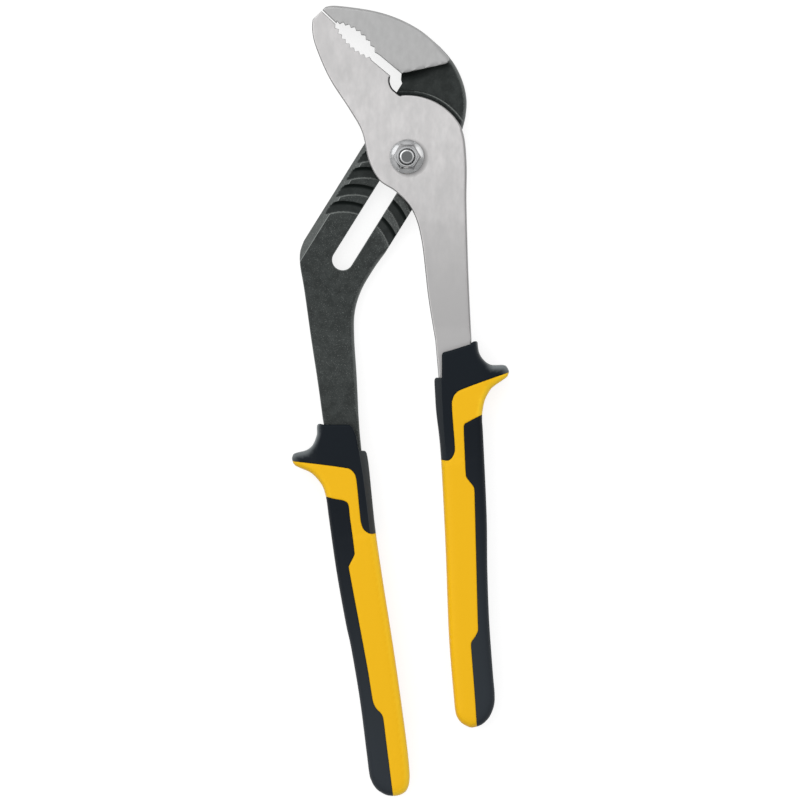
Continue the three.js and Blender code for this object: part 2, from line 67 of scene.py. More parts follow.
# Lean of the slot in degrees from the tool's length
SLOT_ANGLE = 32.0

# A fall of the face deeper than this counts as a rounded edge
ROUNDED = 0.03


class Body(Enum):
    """Bodies of the frame that a piece can ride on."""

    FRONT = "front_half"
    PIVOT = "pivot"
    SLOTTED = "slotted_half"


class Slot(Enum):
    """Material slots of the record."""

    GROUND = "ground_steel"
    PHOSPHATED = "phosphated_steel"
    ZINC = "zinc_plated_steel"
    CORE = "yellow_core"
    COLLAR = "black_collar"
    PAD = "black_pad"


class Side(Enum):
    """Sides of the tool, as the sign of the way out to them."""

    LEFT = -1
    RIGHT = 1


class Layer(Enum):
    """Mouldings of a grip."""

    CORE = "core"
    COLLAR = "collar"
    PAD = "pad"


class Level:
    """Heights above the surface that the tool lies on."""

    BACK = BOLT_HEAD + FIT
    FACE = BACK + JAW_THICKNESS
    MIDDLE = (BACK + FACE) / 2
    REAR_FACE = MIDDLE - RUNNING_GAP / 2
    FRONT_BACK = MIDDLE + RUNNING_GAP / 2
    HANDLE_BACK = MIDDLE - HANDLE_THICKNESS / 2
    HANDLE_FACE = MIDDLE + HANDLE_THICKNESS / 2
    SEAT = FACE + FIT


# Flat curves


def spline(points: Sequence, steps: int = 10) -> Array:
    """Smooth curve through points.

    On each span it is the cubic whose slope at a point is half the chord between that point's neighbours.

    Args:
        points: at least two positions in the plane.
        steps: samples for each span.

    Returns:
        Samples from the first point to the last.
    """
    knots = np.asarray(points, float)
    slope = 0.5 * (np.vstack([knots[1:], knots[-1:]]) - np.vstack([knots[:1], knots[:-1]]))
    start, stop = knots[:-1, None], knots[1:, None]
    leave, arrive = slope[:-1, None], slope[1:, None]
    share = np.linspace(0, 1, steps, endpoint=False)[None, :, None]
    square, cube = share**2, share**3
    curve = start + (stop - start) * (3 * square - 2 * cube)
    curve = curve + leave * (cube - 2 * square + share) + arrive * (cube - square)
    return np.vstack([curve.reshape(-1, 2), knots[-1:]])


def arc(centre: Sequence, radius: float, first: float, last: float, steps: int = 48) -> Array:
    """Points of a circle's arc between two angles in degrees."""
    angle = np.radians(np.linspace(first, last, steps))
    return np.asarray(centre, float) + radius * np.c_[np.cos(angle), np.sin(angle)]


def polar(radius: float, degrees: float) -> Array:
    """Point at a distance and an angle from the origin."""
    return radius * np.array([math.cos(math.radians(degrees)), math.sin(math.radians(degrees))])


def subdivide(line: Array, step: float) -> Array:
    """Line with each span cut into equal parts.

    Args:
        line: positions along it; repeated ones are dropped.
        step: longest part.

    Returns:
        Positions along the finer line.
    """
    line = line[np.append(np.linalg.norm(np.diff(line, axis=0), axis=1) > 1e-6, True)]
    span = np.diff(line, axis=0)
    parts = np.maximum(1, np.ceil(np.linalg.norm(span, axis=1) / step)).astype(int)
    which = np.repeat(np.arange(len(span)), parts)
    share = (np.arange(parts.sum()) - np.repeat(np.cumsum(parts) - parts, parts)) / parts[which]
    return np.vstack([line[which] + span[which] * share[:, None], line[-1:]])


def area(loop: Array) -> float:
    """Twice the area of a loop, above 0 where it runs counter-clockwise."""
    x, y = loop.T
    return float(np.sum(x * np.roll(y, -1) - np.roll(x, -1) * y))


def offset(line: Array, distance: float | Array, closed: bool = False) -> Array:
    """Line moved to its left by a distance, with mitred corners.

    Args:
        line: positions along the line; a closed one doesn't repeat its first point.
        distance: one number, or one for each point.
        closed: whether the last point joins the first.

    Returns:
        As many points as the line has.
    """
    ahead = np.roll(line, -1, axis=0) - line
    if not closed:
        ahead[-1] = ahead[-2]
    ahead /= np.linalg.norm(ahead, axis=1, keepdims=True)
    behind = np.roll(ahead, 1, axis=0)
    if not closed:
        behind[0] = ahead[0]
    left = np.c_[-ahead[:, 1], ahead[:, 0]]
    left_behind = np.c_[-behind[:, 1], behind[:, 0]]
    # The lower limit keeps a sharp corner's mitre short
    open_share = np.maximum(0.35, 1 + np.sum(left * left_behind, axis=1))
    mitre = (left + left_behind) / open_share[:, None]
    return line + mitre * np.broadcast_to(distance, len(line))[:, None]


def lots(points: Array) -> list[Array]:
    """Points in lots that are small enough to measure at a time."""
    return np.array_split(points, max(1, len(points) // LOT))


def nearest(points: Array, line: Array, closed: bool) -> tuple[Array, Array]:
    """Nearest place on a line for each point.

    Args:
        points: positions to measure from.
        line: positions along the line.
        closed: whether the last point joins the first.

    Returns:
        The distances, and for each the place on the line as a span's number plus a share of that span.
    """
    start = line if closed else line[:-1]
    span = np.roll(line, -1, axis=0) - line if closed else np.diff(line, axis=0)
    length = np.maximum(np.sum(span * span, axis=1), 1e-12)
    distances, places = [], []
    for lot in lots(points):
        away = lot[:, None] - start[None]
        share = np.clip(np.sum(away * span, axis=2) / length, 0, 1)
        gap = np.linalg.norm(away - share[..., None] * span, axis=2)
        span_number = np.argmin(gap, axis=1)
        rows = np.arange(len(lot))
        distances.append(gap[rows, span_number])
        places.append(span_number + share[rows, span_number])
    return np.concatenate(distances), np.concatenate(places)


def distance(points: Array, line: Array, closed: bool = False) -> Array:
    """Distance from each point to a line."""
    return nearest(points, line, closed)[0]


def inside(points: Array, loop: Array) -> Array:
    """Which points a loop surrounds: those from which a line to the right crosses it an odd number of times.

    Args:
        points: positions to test.
        loop: positions along the loop, the last of which joins the first.

    Returns:
        True or False for each point.
    """
    stop = np.roll(loop, -1, axis=0)
    rise = np.where(stop[:, 1] == loop[:, 1], 1, stop[:, 1] - loop[:, 1])
    result = []
    for lot in lots(points):
        x, y = lot[:, :1], lot[:, 1:]
        across = (loop[:, 1] > y) != (stop[:, 1] > y)
        hit = loop[:, 0] + (y - loop[:, 1]) * (stop[:, 0] - loop[:, 0]) / rise
        result.append(np.sum(across & (x < hit), axis=1) % 2 == 1)
    return np.concatenate(result)


def dots(loop: Array, pitch: float) -> Array:
    """Square grid of points over a loop, turned so that its rows lie along no edge.

    Args:
        loop: positions along the loop.
        pitch: distance between rows.

    Returns:
        Positions, also beyond the loop.
    """
    low, high = loop.min(axis=0), loop.max(axis=0)
    reach = np.linalg.norm(high - low) / 2
    x, y = np.meshgrid(np.arange(-reach, reach, pitch), np.arange(-reach, reach, pitch))
    cosine, sine = polar(1, 23)
    return (low + high) / 2 + np.c_[(x * cosine - y * sine).ravel(), (x * sine + y * cosine).ravel()]


def quarter_round(depth: Array, radius: float | Array) -> Array:
    """Fall of a face near an edge: a quarter circle of the radius, over the depth inside the edge."""
    short = np.clip(radius - depth, 0, radius)
    return radius - np.sqrt(np.maximum(radius**2 - short**2, 0))


def smooth(value: Array, low: float, high: float) -> Array:
    """Rise from 0 to 1 between two values, level at both ends."""
    share = np.clip((value - low) / (high - low), 0, 1)
    return share * share * (3 - 2 * share)


# Bodies over a plan


@dataclass
class Plan:
    """Triangles over a flat outline, with chosen lines as edges.

    Attributes:
        loops: outer loop, then any holes.
        lines: open lines to follow.
        rings: closed lines to follow.
        points: loose points to use.
        step: longest span of an open line.
        flat: positions of the corners.
        triangles: three corners' numbers for each triangle.
    """

    loops: list[Array]
    lines: list[Array]
    rings: list[Array]
    points: Array
    step: float = 0.8
    flat: Array = field(init=False)
    triangles: Array = field(init=False)

    def __post_init__(self) -> None:
        """Joins everything in one triangulation and keeps the triangles between the loops."""
        closed = self.loops + self.rings
        parts = closed + [subdivide(line, self.step) for line in self.lines]
        sizes = np.array([len(part) for part in parts])
        edges = []
        for number, (begin, size) in enumerate(zip(np.cumsum(sizes) - sizes, sizes)):
            index = begin + np.arange(size)
            pairs = np.c_[index, np.roll(index, -1)]
            edges.append(pairs if number < len(closed) else pairs[:-1])
        kept = self.points[inside(self.points, self.loops[0])]
        spots, index = np.unique(np.round(np.vstack(parts + [kept]), 3), axis=0, return_inverse=True)
        pairs = np.unique(np.sort(index.ravel()[np.vstack(edges)], axis=1), axis=0)
        pairs = pairs[pairs[:, 0] != pairs[:, 1]]
        found = geometry.delaunay_2d_cdt(list(map(Vector, spots.tolist())), pairs.tolist(), [], 0, 1e-4)
        self.flat = np.array([tuple(spot) for spot in found[0]])
        self.triangles = np.array(found[2])
        keep = self.within(self.loops[0])
        for hole in self.loops[1:]:
            keep &= ~self.within(hole)
        self.triangles = self.triangles[keep]

    def within(self, loop: Array) -> Array:
        """Which triangles have their middle inside a loop."""
        return inside(self.flat[self.triangles].mean(axis=1), loop)

    def everything(self) -> Array:
        """All triangles, as a choice."""
        return np.full(len(self.triangles), True)


@dataclass
class Shape:
    """Corners, faces, and a tone at each corner, mostly for painted light and shade: above 0 towards the worn
    colour, below 0 the deep one.
    """

    points: Array
    faces: list[list[int]]
    tone: Array


def body_between(plan: Plan, chosen: Array, front: Array, back: Array, tone: Array | None = None) -> Shape:
    """Closed body over some of a plan's triangles, between two heights at each point, with upright walls.

    Args:
        plan: the triangles.
        chosen: which of them to use.
        front: upper height at each point of the plan.
        back: lower height at each point of the plan.
        tone: tone of the front at each point of the plan.

    Returns:
        The closed body.
    """
    used, index = np.unique(plan.triangles[chosen], return_inverse=True)
    upper = index.reshape(-1, 3)
    count = len(used)
    points = np.vstack([np.c_[plan.flat[used], front[used]], np.c_[plan.flat[used], back[used]]])
    sides = np.vstack([upper[:, [0, 1]], upper[:, [1, 2]], upper[:, [2, 0]]])
    key = np.sort(sides, axis=1) @ np.array([count, 1])
    _, place, times = np.unique(key, return_index=True, return_counts=True)
    rim = sides[place[times == 1]]
    walls = np.c_[rim[:, 1], rim[:, 0], rim[:, 0] + count, rim[:, 1] + count]
    faces = upper.tolist() + (upper[:, ::-1] + count).tolist() + walls.tolist()
    tones = np.zeros(2 * count)
    if tone is not None:
        tones[:count] = tone[used]
    return Shape(points, faces, tones)


def around(radii: Array, heights: Array, ring: bool) -> Shape:
    """Body made by carrying a profile round the vertical axis.

    Args:
        radii: radius for each profile point and each angle.
        heights: height for each of the same.
        ring: whether the profile closes on itself; if not, its ends close on the axis.

    Returns:
        The closed body.
    """
    rows, columns = radii.shape
    angle = np.linspace(0, 2 * np.pi, columns, endpoint=False)
    points = np.stack([radii * np.cos(angle), radii * np.sin(angle), heights], axis=-1).reshape(-1, 3)
    row = np.arange(rows if ring else rows - 1)[:, None] * columns
    upper = (row + columns) % (rows * columns)
    column = np.arange(columns)[None]
    ahead = (column + 1) % columns
    quads = np.stack([row + column, row + ahead, upper + ahead, upper + column], axis=-1)
    faces = quads.reshape(-1, 4).tolist()
    if not ring:
        faces += [np.arange(columns)[::-1].tolist(), (np.arange(columns) + (rows - 1) * columns).tolist()]
    return Shape(points, faces, np.zeros(len(points)))


def add_piece(name: str, shape: Shape, body: Body, node: str, crease: float = 32) -> bpy.types.Object:
    """Object from corners and faces, riding on a body and standing for a node of the frame.

    Args:
        name: object's name.
        shape: the closed body.
        body: what it moves with.
        node: node that it stands for.
        crease: angle in degrees above which an edge is sharp.

    Returns:
        The object.
    """
    mesh = bpy.data.meshes.new(name)
    mesh.from_pydata((shape.points * MM).tolist(), [], shape.faces)
    mesh.attributes.new("tone", "FLOAT", "POINT").data.foreach_set("value", shape.tone.astype(np.float32))
    normals = np.empty(3 * len(mesh.polygons))
    mesh.polygons.foreach_get("normal", normals)
    # Level faces stay flat, so that no rounding beside them shades them
    level = np.abs(normals[2::3]) > 0.9996
    mesh.polygons.foreach_set("use_smooth", ~level)
    mesh.set_sharp_from_angle(angle=math.radians(crease))
    piece = bpy.data.objects.new(name, mesh)
    bpy.context.scene.collection.objects.link(piece)
    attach(piece, body.value)
    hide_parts(node)
    log.info("%s: %d corners, %d faces", name, len(shape.points), len(shape.faces))
    return piece


# Finishes


def linear(code: str) -> tuple[float, float, float, float]:
    """Colour written as a web code, as the linear values that a shader takes.

    Args:
        code: six digits after a hash.

    Returns:
        Red, green, blue and full cover.
    """
    values = np.array([int(code[i:i + 2], 16) for i in (1, 3, 5)]) / 255
    red, green, blue = np.where(values <= 0.04045, values / 12.92, ((values + 0.055) / 1.055) ** 2.4)
    return float(red), float(green), float(blue), 1.0


def add_node(tree: bpy.types.NodeTree, kind: str, inputs: dict, **settings: object) -> bpy.types.Node:
    """Shader node with its settings and inputs.

    Args:
        tree: where it goes.
        kind: type of node.
        inputs: a value for each input, or another node's output to join it to.
        settings: properties of the node.

    Returns:
        The node.
    """
    node = tree.nodes.new(kind)
    for name, value in settings.items():
        setattr(node, name, value)
    for name, value in inputs.items():
        if isinstance(value, bpy.types.NodeSocket):
            tree.links.new(value, node.inputs[name])
        else:
            node.inputs[name].default_value = value
    return node


@dataclass(frozen=True)
class Finish:
    """Surface of a piece, with a noise pattern in its colour and relief.

    Attributes:
        name: real material and how it was made.
        slot: slot of the record that it stands for; not used.
        colour: web colour code.
        shade: second colour code, reached where the pattern is low.
        roughness: blur of reflections.
        grain: size of the pattern across.
        relief: depth of the pattern.
        contrast: share of the second colour at the pattern's lows.
        metallic: 1 for bare metal.
        specular: strength of reflections on a material that is not metal.
        stretch: how much longer the pattern is along the handle than across it.
        painted_light_and_wear: colour where the tone is 1; it paints highlights on most finishes and shade on
            the ground steel, and colours the specks.
        deep: colour where the tone is -1, mostly painted shade; it also colours the wide darker patches.
        flecks: strength of small specks of the worn colour.
        mottle: share of the deep colour in wide darker patches.
        patch: size of those patches across.
    """

    name: str
    slot: Slot
    colour: str
    shade: str
    roughness: float
    grain: float
    relief: float
    contrast: float
    metallic: float = 0.0
    specular: float = 0.5
    stretch: float = 1.0
    painted_light_and_wear: str = "#FFFFFF"
    deep: str = "#000000"
    flecks: float = 0.0
    mottle: float = 0.0
    patch: float = 6.0

    def material(self) -> bpy.types.Material:
        """Material whose colour runs from pattern to patches, then by tone to the worn and the deep colour,
        which paint light and shade.

        Returns:
            The material, less shiny where its tone is below 0.
        """
        made = bpy.data.materials.new(self.name)
        made.use_nodes = True
        tree = made.node_tree
        place = add_node(tree, "ShaderNodeTexCoord", {})
        fine = 1 / (self.grain * MM)
        mapped = add_node(tree, "ShaderNodeMapping", {
            "Vector": place.outputs["Object"], "Scale": (fine, fine / self.stretch, fine)})
        # Grain over the pattern's size, detail, roughness, band of the noise and amounts at the band's ends
        patterns = ((1.0, 4.0, 0.6, 0.35, 0.65, self.contrast, 0.0),
                    (self.grain / self.patch, 3.0, 0.6, 0.4, 0.6, self.mottle, 0.0),
                    (2.6, 1.0, 0.5, 0.62, 0.72, 0.0, self.flecks))
        noises, amounts = [], []
        for scale, detail, rough, low, high, at_low, at_high in patterns:
            noise = add_node(tree, "ShaderNodeTexNoise", {
                "Vector": mapped.outputs["Vector"], "Scale": scale, "Detail": detail, "Roughness": rough})
            amount = add_node(tree, "ShaderNodeMapRange", {
                "Value": noise.outputs["Fac"], "From Min": low, "From Max": high, "To Min": at_low,
                "To Max": at_high})
            noises.append(noise.outputs["Fac"])
            amounts.append(amount.outputs["Result"])
        shading, stain, fleck = amounts
        tone = add_node(tree, "ShaderNodeAttribute", {}, attribute_name="tone").outputs["Fac"]
        bright = add_node(tree, "ShaderNodeMath", {0: tone, 1: fleck}, operation="ADD", use_clamp=True)
        dark = add_node(tree, "ShaderNodeMath", {0: tone, 1: -1.0}, operation="MULTIPLY", use_clamp=True)
        colour = linear(self.colour)
        for amount, towards in ((shading, self.shade), (stain, self.deep),
                                (bright.outputs["Value"], self.painted_light_and_wear), (dark.outputs["Value"], self.deep)):
            mixed = add_node(tree, "ShaderNodeMix", {"Factor": amount, "A": colour, "B": linear(towards)},
                             data_type="RGBA")
            colour = mixed.outputs["Result"]
        matt = add_node(tree, "ShaderNodeMath", {
            0: dark.outputs["Value"], 1: -self.specular, 2: self.specular}, operation="MULTIPLY_ADD")
        bump = add_node(tree, "ShaderNodeBump", {
            "Height": noises[0], "Strength": 1.0, "Distance": self.relief * MM})
        shader = tree.nodes["Principled BSDF"].inputs
        shader["Metallic"].default_value = self.metallic
        shader["Roughness"].default_value = self.roughness
        tree.links.new(colour, shader["Base Color"])
        tree.links.new(matt.outputs["Value"], shader["Specular IOR Level"])
        tree.links.new(bump.outputs["Normal"], shader["Normal"])
        return made

    def cover(self, piece: bpy.types.Object) -> None:
        """Puts the finish on a piece."""
        piece.data.materials.append(bpy.data.materials.get(self.name) or self.material())


# Grinding blurs reflections to a pale satin grey with soft cloudy streaks. Painted shade greys the arm and
# painted dark reflections darken rounded edges. Its lines are too fine to show, so they are drawn 2.4 mm
# wide.
GROUND = Finish(
    "tool steel, satin ground", Slot.GROUND, "#CBC9C9", "#BBBABA", roughness=0.4, grain=2.4, relief=0.003,
    contrast=0.7, metallic=1.0, stretch=2.2, painted_light_and_wear="#3C3C3C", deep="#ABAAAA", mottle=0.3)

# Coarser grinding gives a flat mid grey without a clear reflection. It is drawn coarser than real, so that
# it shows.
JAW = Finish(
    "tool steel, ground grey", Slot.GROUND, "#ADADAD", "#A0A0A0", roughness=0.5, grain=2.0, relief=0.003,
    contrast=0.5, metallic=1.0, stretch=2.0)

# Oiled phosphate is a dull green black, blotched, specked where steel shows, grey where rubbed and in painted
# highlights, and darker in painted shadow. Its crystals are too fine to show, so they are drawn 0.8 mm wide.
PHOSPHATE = Finish(
    "tool steel, phosphated", Slot.PHOSPHATED, "#3B3F3E", "#2F3332", roughness=0.5, grain=0.8, relief=0.02,
    contrast=0.7, metallic=0.6, specular=0.4, painted_light_and_wear="#9A9E9C", deep="#151918", flecks=0.45, mottle=0.4,
    patch=4.0)

# Bright plating gives clear reflections on every facet, a little uneven, with painted glints on the skirt and
# painted dark reflections under the crown.
ZINC = Finish(
    "steel, zinc plated", Slot.ZINC, "#CDCECF", "#B6B7B8", roughness=0.2, grain=0.8, relief=0.003,
    contrast=0.5, metallic=1.0, deep="#6B6D6E")

# Moulded plastic is an even, strong yellow with a soft sheen, and painted light brightens its rounded edge.
YELLOW = Finish(
    "polypropylene, injection moulded", Slot.CORE, "#E9B30A", "#E5AE09", roughness=0.5, grain=0.5,
    relief=0.004, contrast=0.4, specular=0.15, painted_light_and_wear="#FFD02A")

# Satin elastomer is a blue black, with painted grey highlights on its rounded brim and its facet.
BLACK = Finish(
    "elastomer, overmoulded satin", Slot.COLLAR, "#151B21", "#12171D", roughness=0.4, grain=0.5, relief=0.004,
    contrast=0.4, specular=0.08, painted_light_and_wear="#8A9092")

# Matt elastomer is a blue black without highlights, a little greyer towards its end.
PAD = Finish(
    "elastomer, overmoulded matt", Slot.PAD, "#151A20", "#12171C", roughness=0.6, grain=0.4, relief=0.008,
    contrast=0.5, specular=0.08, painted_light_and_wear="#2D3237")


class SubAssembly(ABC):
    """Part of the tool that builds its pieces and dresses them.

    Attributes:
        finishes: one for each piece, in the order in which they are built.
    """

    finishes: tuple[Finish, ...]

    @abstractmethod
    def build(self) -> list[bpy.types.Object]:
        """Makes the pieces."""

    def dress(self, pieces: list[bpy.types.Object]) -> None:
        """Puts its finish on each piece."""
        for piece, finish in zip(pieces, self.finishes):
            finish.cover(piece)


# Levers


@dataclass
class Edge:
    """Closed outline of a plate with a rounding at each point.

    Attributes:
        runs: pairs of points and rounding radius, in order.
        step: longest span of the outline.
        loop: positions along the outline, counter-clockwise.
        radius: rounding at each of them.
    """

    runs: list[tuple[Array, float]]
    step: float = 0.9
    loop: Array = field(init=False)
    radius: Array = field(init=False)

    def __post_init__(self) -> None:
        """Joins the runs and evens out the rounding over seven points, so that it changes without a jump."""
        lines = [subdivide(points, self.step) for points, _ in self.runs]
        loop = np.vstack(lines)
        radius = np.concatenate([np.full(len(line), size) for line, (_, size) in zip(lines, self.runs)])
        apart = np.linalg.norm(np.roll(loop, -1, axis=0) - loop, axis=1) > 0.02
        order = 1 if area(loop[apart]) > 0 else -1
        self.loop, radius = loop[apart][::order], radius[apart][::order]
        self.radius = np.mean([np.roll(radius, step) for step in range(-3, 4)], axis=0)

    def rings(self) -> list[Array]:
        """Lines inside the outline at which the rounding is sampled, and one beyond it."""
        shares = [1 - math.cos(math.radians(angle)) for angle in (22.5, 45, 67.5, 90)] + [1.3]
        return [offset(self.loop, share * self.radius, True) for share in shares]

    def fall(self, points: Array) -> Array:
        """Fall of the face near the outline: a quarter circle of the rounding at the nearest place.

        Args:
            points: positions on the plate.

        Returns:
            The fall at each of them.
        """
        depth, place = nearest(points, self.loop, True)
        radius = np.interp(place, np.arange(len(self.radius) + 1), np.append(self.radius, self.radius[0]))
        return quarter_round(depth, radius)


def toothed(start: Sequence, pull: Sequence, stop: Sequence, teeth: int = 8, depth: float = 1.0) -> Array:
    """Row of teeth along a quadratic curve, standing half their depth to each side of it.

    Args:
        start: first point of the curve.
        pull: point that the curve bends towards.
        stop: last point.
        teeth: number of teeth.
        depth: from root to tip.

    Returns:
        Roots and tips by turns.
    """
    share = np.linspace(0, 1, 2 * teeth + 1)[:, None]
    start, pull, stop = (np.asarray(point, float) for point in (start, pull, stop))
    curve = (1 - share) ** 2 * start + 2 * share * (1 - share) * pull + share**2 * stop
    slope = 2 * (1 - share) * (pull - start) + 2 * share * (stop - pull)
    slope /= np.linalg.norm(slope, axis=1, keepdims=True)
    out = np.where(np.arange(2 * teeth + 1) % 2 == 1, 0.5, -0.5)[:, None] * depth
    return curve + out * np.c_[-slope[:, 1], slope[:, 0]]


@dataclass(frozen=True)
class Handle:
    """Where a grip sits.

    Attributes:
        side: side of the tool.
        x: place of its inner top corner, to the right of the pivot.
        y: place of that corner, up from the pivot.
        turn: lean in degrees.
    """

    side: Side
    x: float
    y: float
    turn: float

    def place(self, rows: Sequence) -> Array:
        """Positions on the tool.

        Args:
            rows: along and across values in the grip's own frame.

        Returns:
            One position for each row.
        """
        along, across = np.asarray(rows, float).T
        cosine, sine = polar(1, self.turn)
        x, y = self.side.value * across, -along
        return np.c_[x * cosine - y * sine + self.x, x * sine + y * cosine + self.y]


LEFT = Handle(Side.LEFT, x=-24.55, y=-114.4, turn=7.57)
RIGHT = Handle(Side.RIGHT, x=19.4, y=-84.4, turn=3.58)

# Closing line of the jaw tips, and half the gap across it
TIP = np.array([[-32.8, 56.5], [-27.4, 51.4]])
TIP_AWAY = 0.3 * np.array([0.687, 0.727])


@dataclass
class FrontLever(SubAssembly):
    """Front lever: lower jaw, round head and right arm, satin ground all over.

    Attributes:
        head: radius of the head.
        hole: radius of the bolt's hole.
        swing: degrees by which the levers open.
        clear: gap between the thick jaw and the rails of the other lever.
        tongue: inner and outer radius of the tongue that holds in a groove.
        spread: half the tongue's spread in degrees.
        tongue_height: height of the tongue.
        tongue_wall, jaw_wall: widths over which the sides of tongue and thick jaw fall.
        face_taper, back_taper: stretches of the arm over which face and back come to the handle's.
        nut: radius of the nut's shade.
        nut_shade: middle of that shade.
        shade: tone against the distance outwards from the shade's radius.
        throat_dark: tone of the painted dark reflection on the rounded edge against the distance from the
            throat.
        teeth_clear: distance from the teeth within which the edge is not dark.
        arm_grey, jaw_grey: stretches over which arm and jaw become greyer; in the arm this is painted shade.
        jaw_share: how grey the jaw becomes, where the arm has 1.
    """

    head: float = 23.9
    hole: float = 3.3
    swing: float = 70.0
    clear: float = 0.6
    tongue: Pair = (18.5, 22.0)
    spread: float = 30.0
    tongue_height: float = 0.5
    tongue_wall: float = 0.12
    jaw_wall: float = 0.15
    face_taper: Pair = (-66.0, -25.0)
    back_taper: Pair = (-40.0, -27.0)
    nut: float = 6.6
    nut_shade: Pair = (0.95, -0.55)
    shade: Table = ((-0.3, 0.2, 0.7, 1.2), (0.45, 0.3, 0.12, 0.0))
    throat_dark: Table = ((0.7, 1.0), (1.0, 0.45))
    teeth_clear: float = 0.6
    arm_grey: Pair = (-15.0, 68.0)
    jaw_grey: Pair = (15.0, 35.0)
    jaw_share: float = 0.3
    finishes: tuple[Finish, ...] = (GROUND,)

    def teeth(self) -> Array:
        """Teeth of the lower jaw."""
        return toothed((-27.3, 50), (-22.85, 41.2), (-13.4, 37.7))

    def throat(self) -> Array:
        """Hollow behind the teeth."""
        return spline([(-6.4, 31.3), (-6.6, 28.8), (-5.6, 26.4), (-3.7, 24.7), polar(self.head, 96)])

    def edge(self) -> Edge:
        """Outline with its roundings.

        Returns:
            Outline that is finely rounded at the teeth and more widely along head and arm.
        """
        arm = RIGHT.place([(-14, 6.4), (5, 5.2), (5, -5.2), (0.4, -7.2), (-3, -7.3), (-14, -7.6)])
        outer = spline([polar(self.head, 28), (22.4, 6), (23.1, -4), (23, -17), (23.5, -38), (24.2, -56),
                        arm[0]])
        inner = spline([arm[5], (8.2, -54), (5.6, -32), (2.1, -20.7), (-4, -13.7), (-10.6, -9.1),
                        (-14.7, -1.5), (-17.3, 9.5), (-22, 18), (-29.9, 30.3), (-35.2, 42.5), (-36.6, 49),
                        (-36.4, 53)])
        return Edge([
            (np.vstack([inner[-1], TIP - TIP_AWAY]), 0.35), (self.teeth(), 0.22), (self.throat(), 0.8),
            (arc((0, 0), self.head, 96, 28), 0.5), (outer, 1.0), (arm, 0.5), (inner, 0.6)])

    def tone(self, flat: Array, fall: Array) -> Array:
        """Painted dark reflections on rounded edges away from the teeth, a painted shadow beside the nut,
        painted shade towards the grip, and greyer towards the jaw.

        Args:
            flat: positions.
            fall: fall of the face near the outline.

        Returns:
            The tone at each position.
        """
        throat = self.throat()
        teeth = np.vstack([TIP - TIP_AWAY, self.teeth(), throat[:1]])
        # Painted dark reflection on rounded edges, strongest in the throat and left off at the teeth
        edge = np.interp(distance(flat, throat[:-4]), *self.throat_dark)
        edge = edge * (distance(flat, teeth) > self.teeth_clear)
        # Painted shadow of the nut on the plate
        beside = np.interp(np.linalg.norm(flat - self.nut_shade, axis=1) - self.nut, *self.shade)
        # Painted shade greying the arm towards the grip, and a greyer jaw
        grey = np.maximum(smooth(-flat[:, 1], *self.arm_grey),
                          self.jaw_share * smooth(flat[:, 1], *self.jaw_grey))
        return np.where(fall > ROUNDED, edge, np.where(beside > 0, beside, -grey))

    def build(self) -> list[bpy.types.Object]:
        """Plate with a tapering arm; behind, the jaw is as thick as both levers together.

        The thick jaw ends at two lines along the other lever's rails, one for the closed position and one
        for the levers wide open.

        Returns:
            One piece.
        """
        edge = self.edge()
        hole = arc((0, 0), self.hole, 360, 0, 49)[:-1]
        shut = 180 - SLOT_ANGLE
        half = self.swing / 2
        corner = polar((self.clear - RAIL_LEFT) / math.cos(math.radians(half)), shut - half)
        open_way = shut + 90 - self.swing
        # The lines only have to reach past the plate
        wedge = np.vstack([corner + polar(90, shut - 90), corner, corner + polar(90, open_way)])
        far = np.vstack([wedge, corner + polar(300, open_way), corner + polar(300, shut - half)])
        low, high = 90 - SLOT_ANGLE - self.spread, 90 - SLOT_ANGLE + self.spread
        tongue = np.vstack([arc((0, 0), self.tongue[0], low, high), arc((0, 0), self.tongue[1], high, low)])
        levels = [np.array([[-60, y], [60, y]]) for y in self.face_taper + self.back_taper]
        # Rings that carry the painted shadow beside the nut
        shade = [arc(self.nut_shade, self.nut + grow, 0, 360, 61)[:-1] for grow in self.shade[0]]
        plan = Plan(
            [edge.loop, hole], [wedge, offset(wedge, -self.jaw_wall)] + levels,
            edge.rings() + [tongue, offset(tongue, self.tongue_wall, True)] + shade, dots(edge.loop, 2.5))
        flat = plan.flat
        fall = edge.fall(flat)
        front = np.interp(flat[:, 1], self.face_taper, [Level.HANDLE_FACE, Level.FACE]) - fall
        behind = np.interp(flat[:, 1], self.back_taper, [Level.HANDLE_BACK, Level.FRONT_BACK])
        on_tongue = inside(flat, offset(tongue, self.tongue_wall / 2, True))
        behind = np.where(on_tongue, Level.FRONT_BACK - self.tongue_height, behind)
        jaw = inside(flat, far) & (distance(flat, wedge) > self.jaw_wall / 2)
        back = np.where(jaw, Level.BACK, behind) + fall
        shape = body_between(plan, plan.everything(), front, back, self.tone(flat, fall))
        return [add_piece("front_lever_plate", shape, Body.FRONT, "front_lever")]


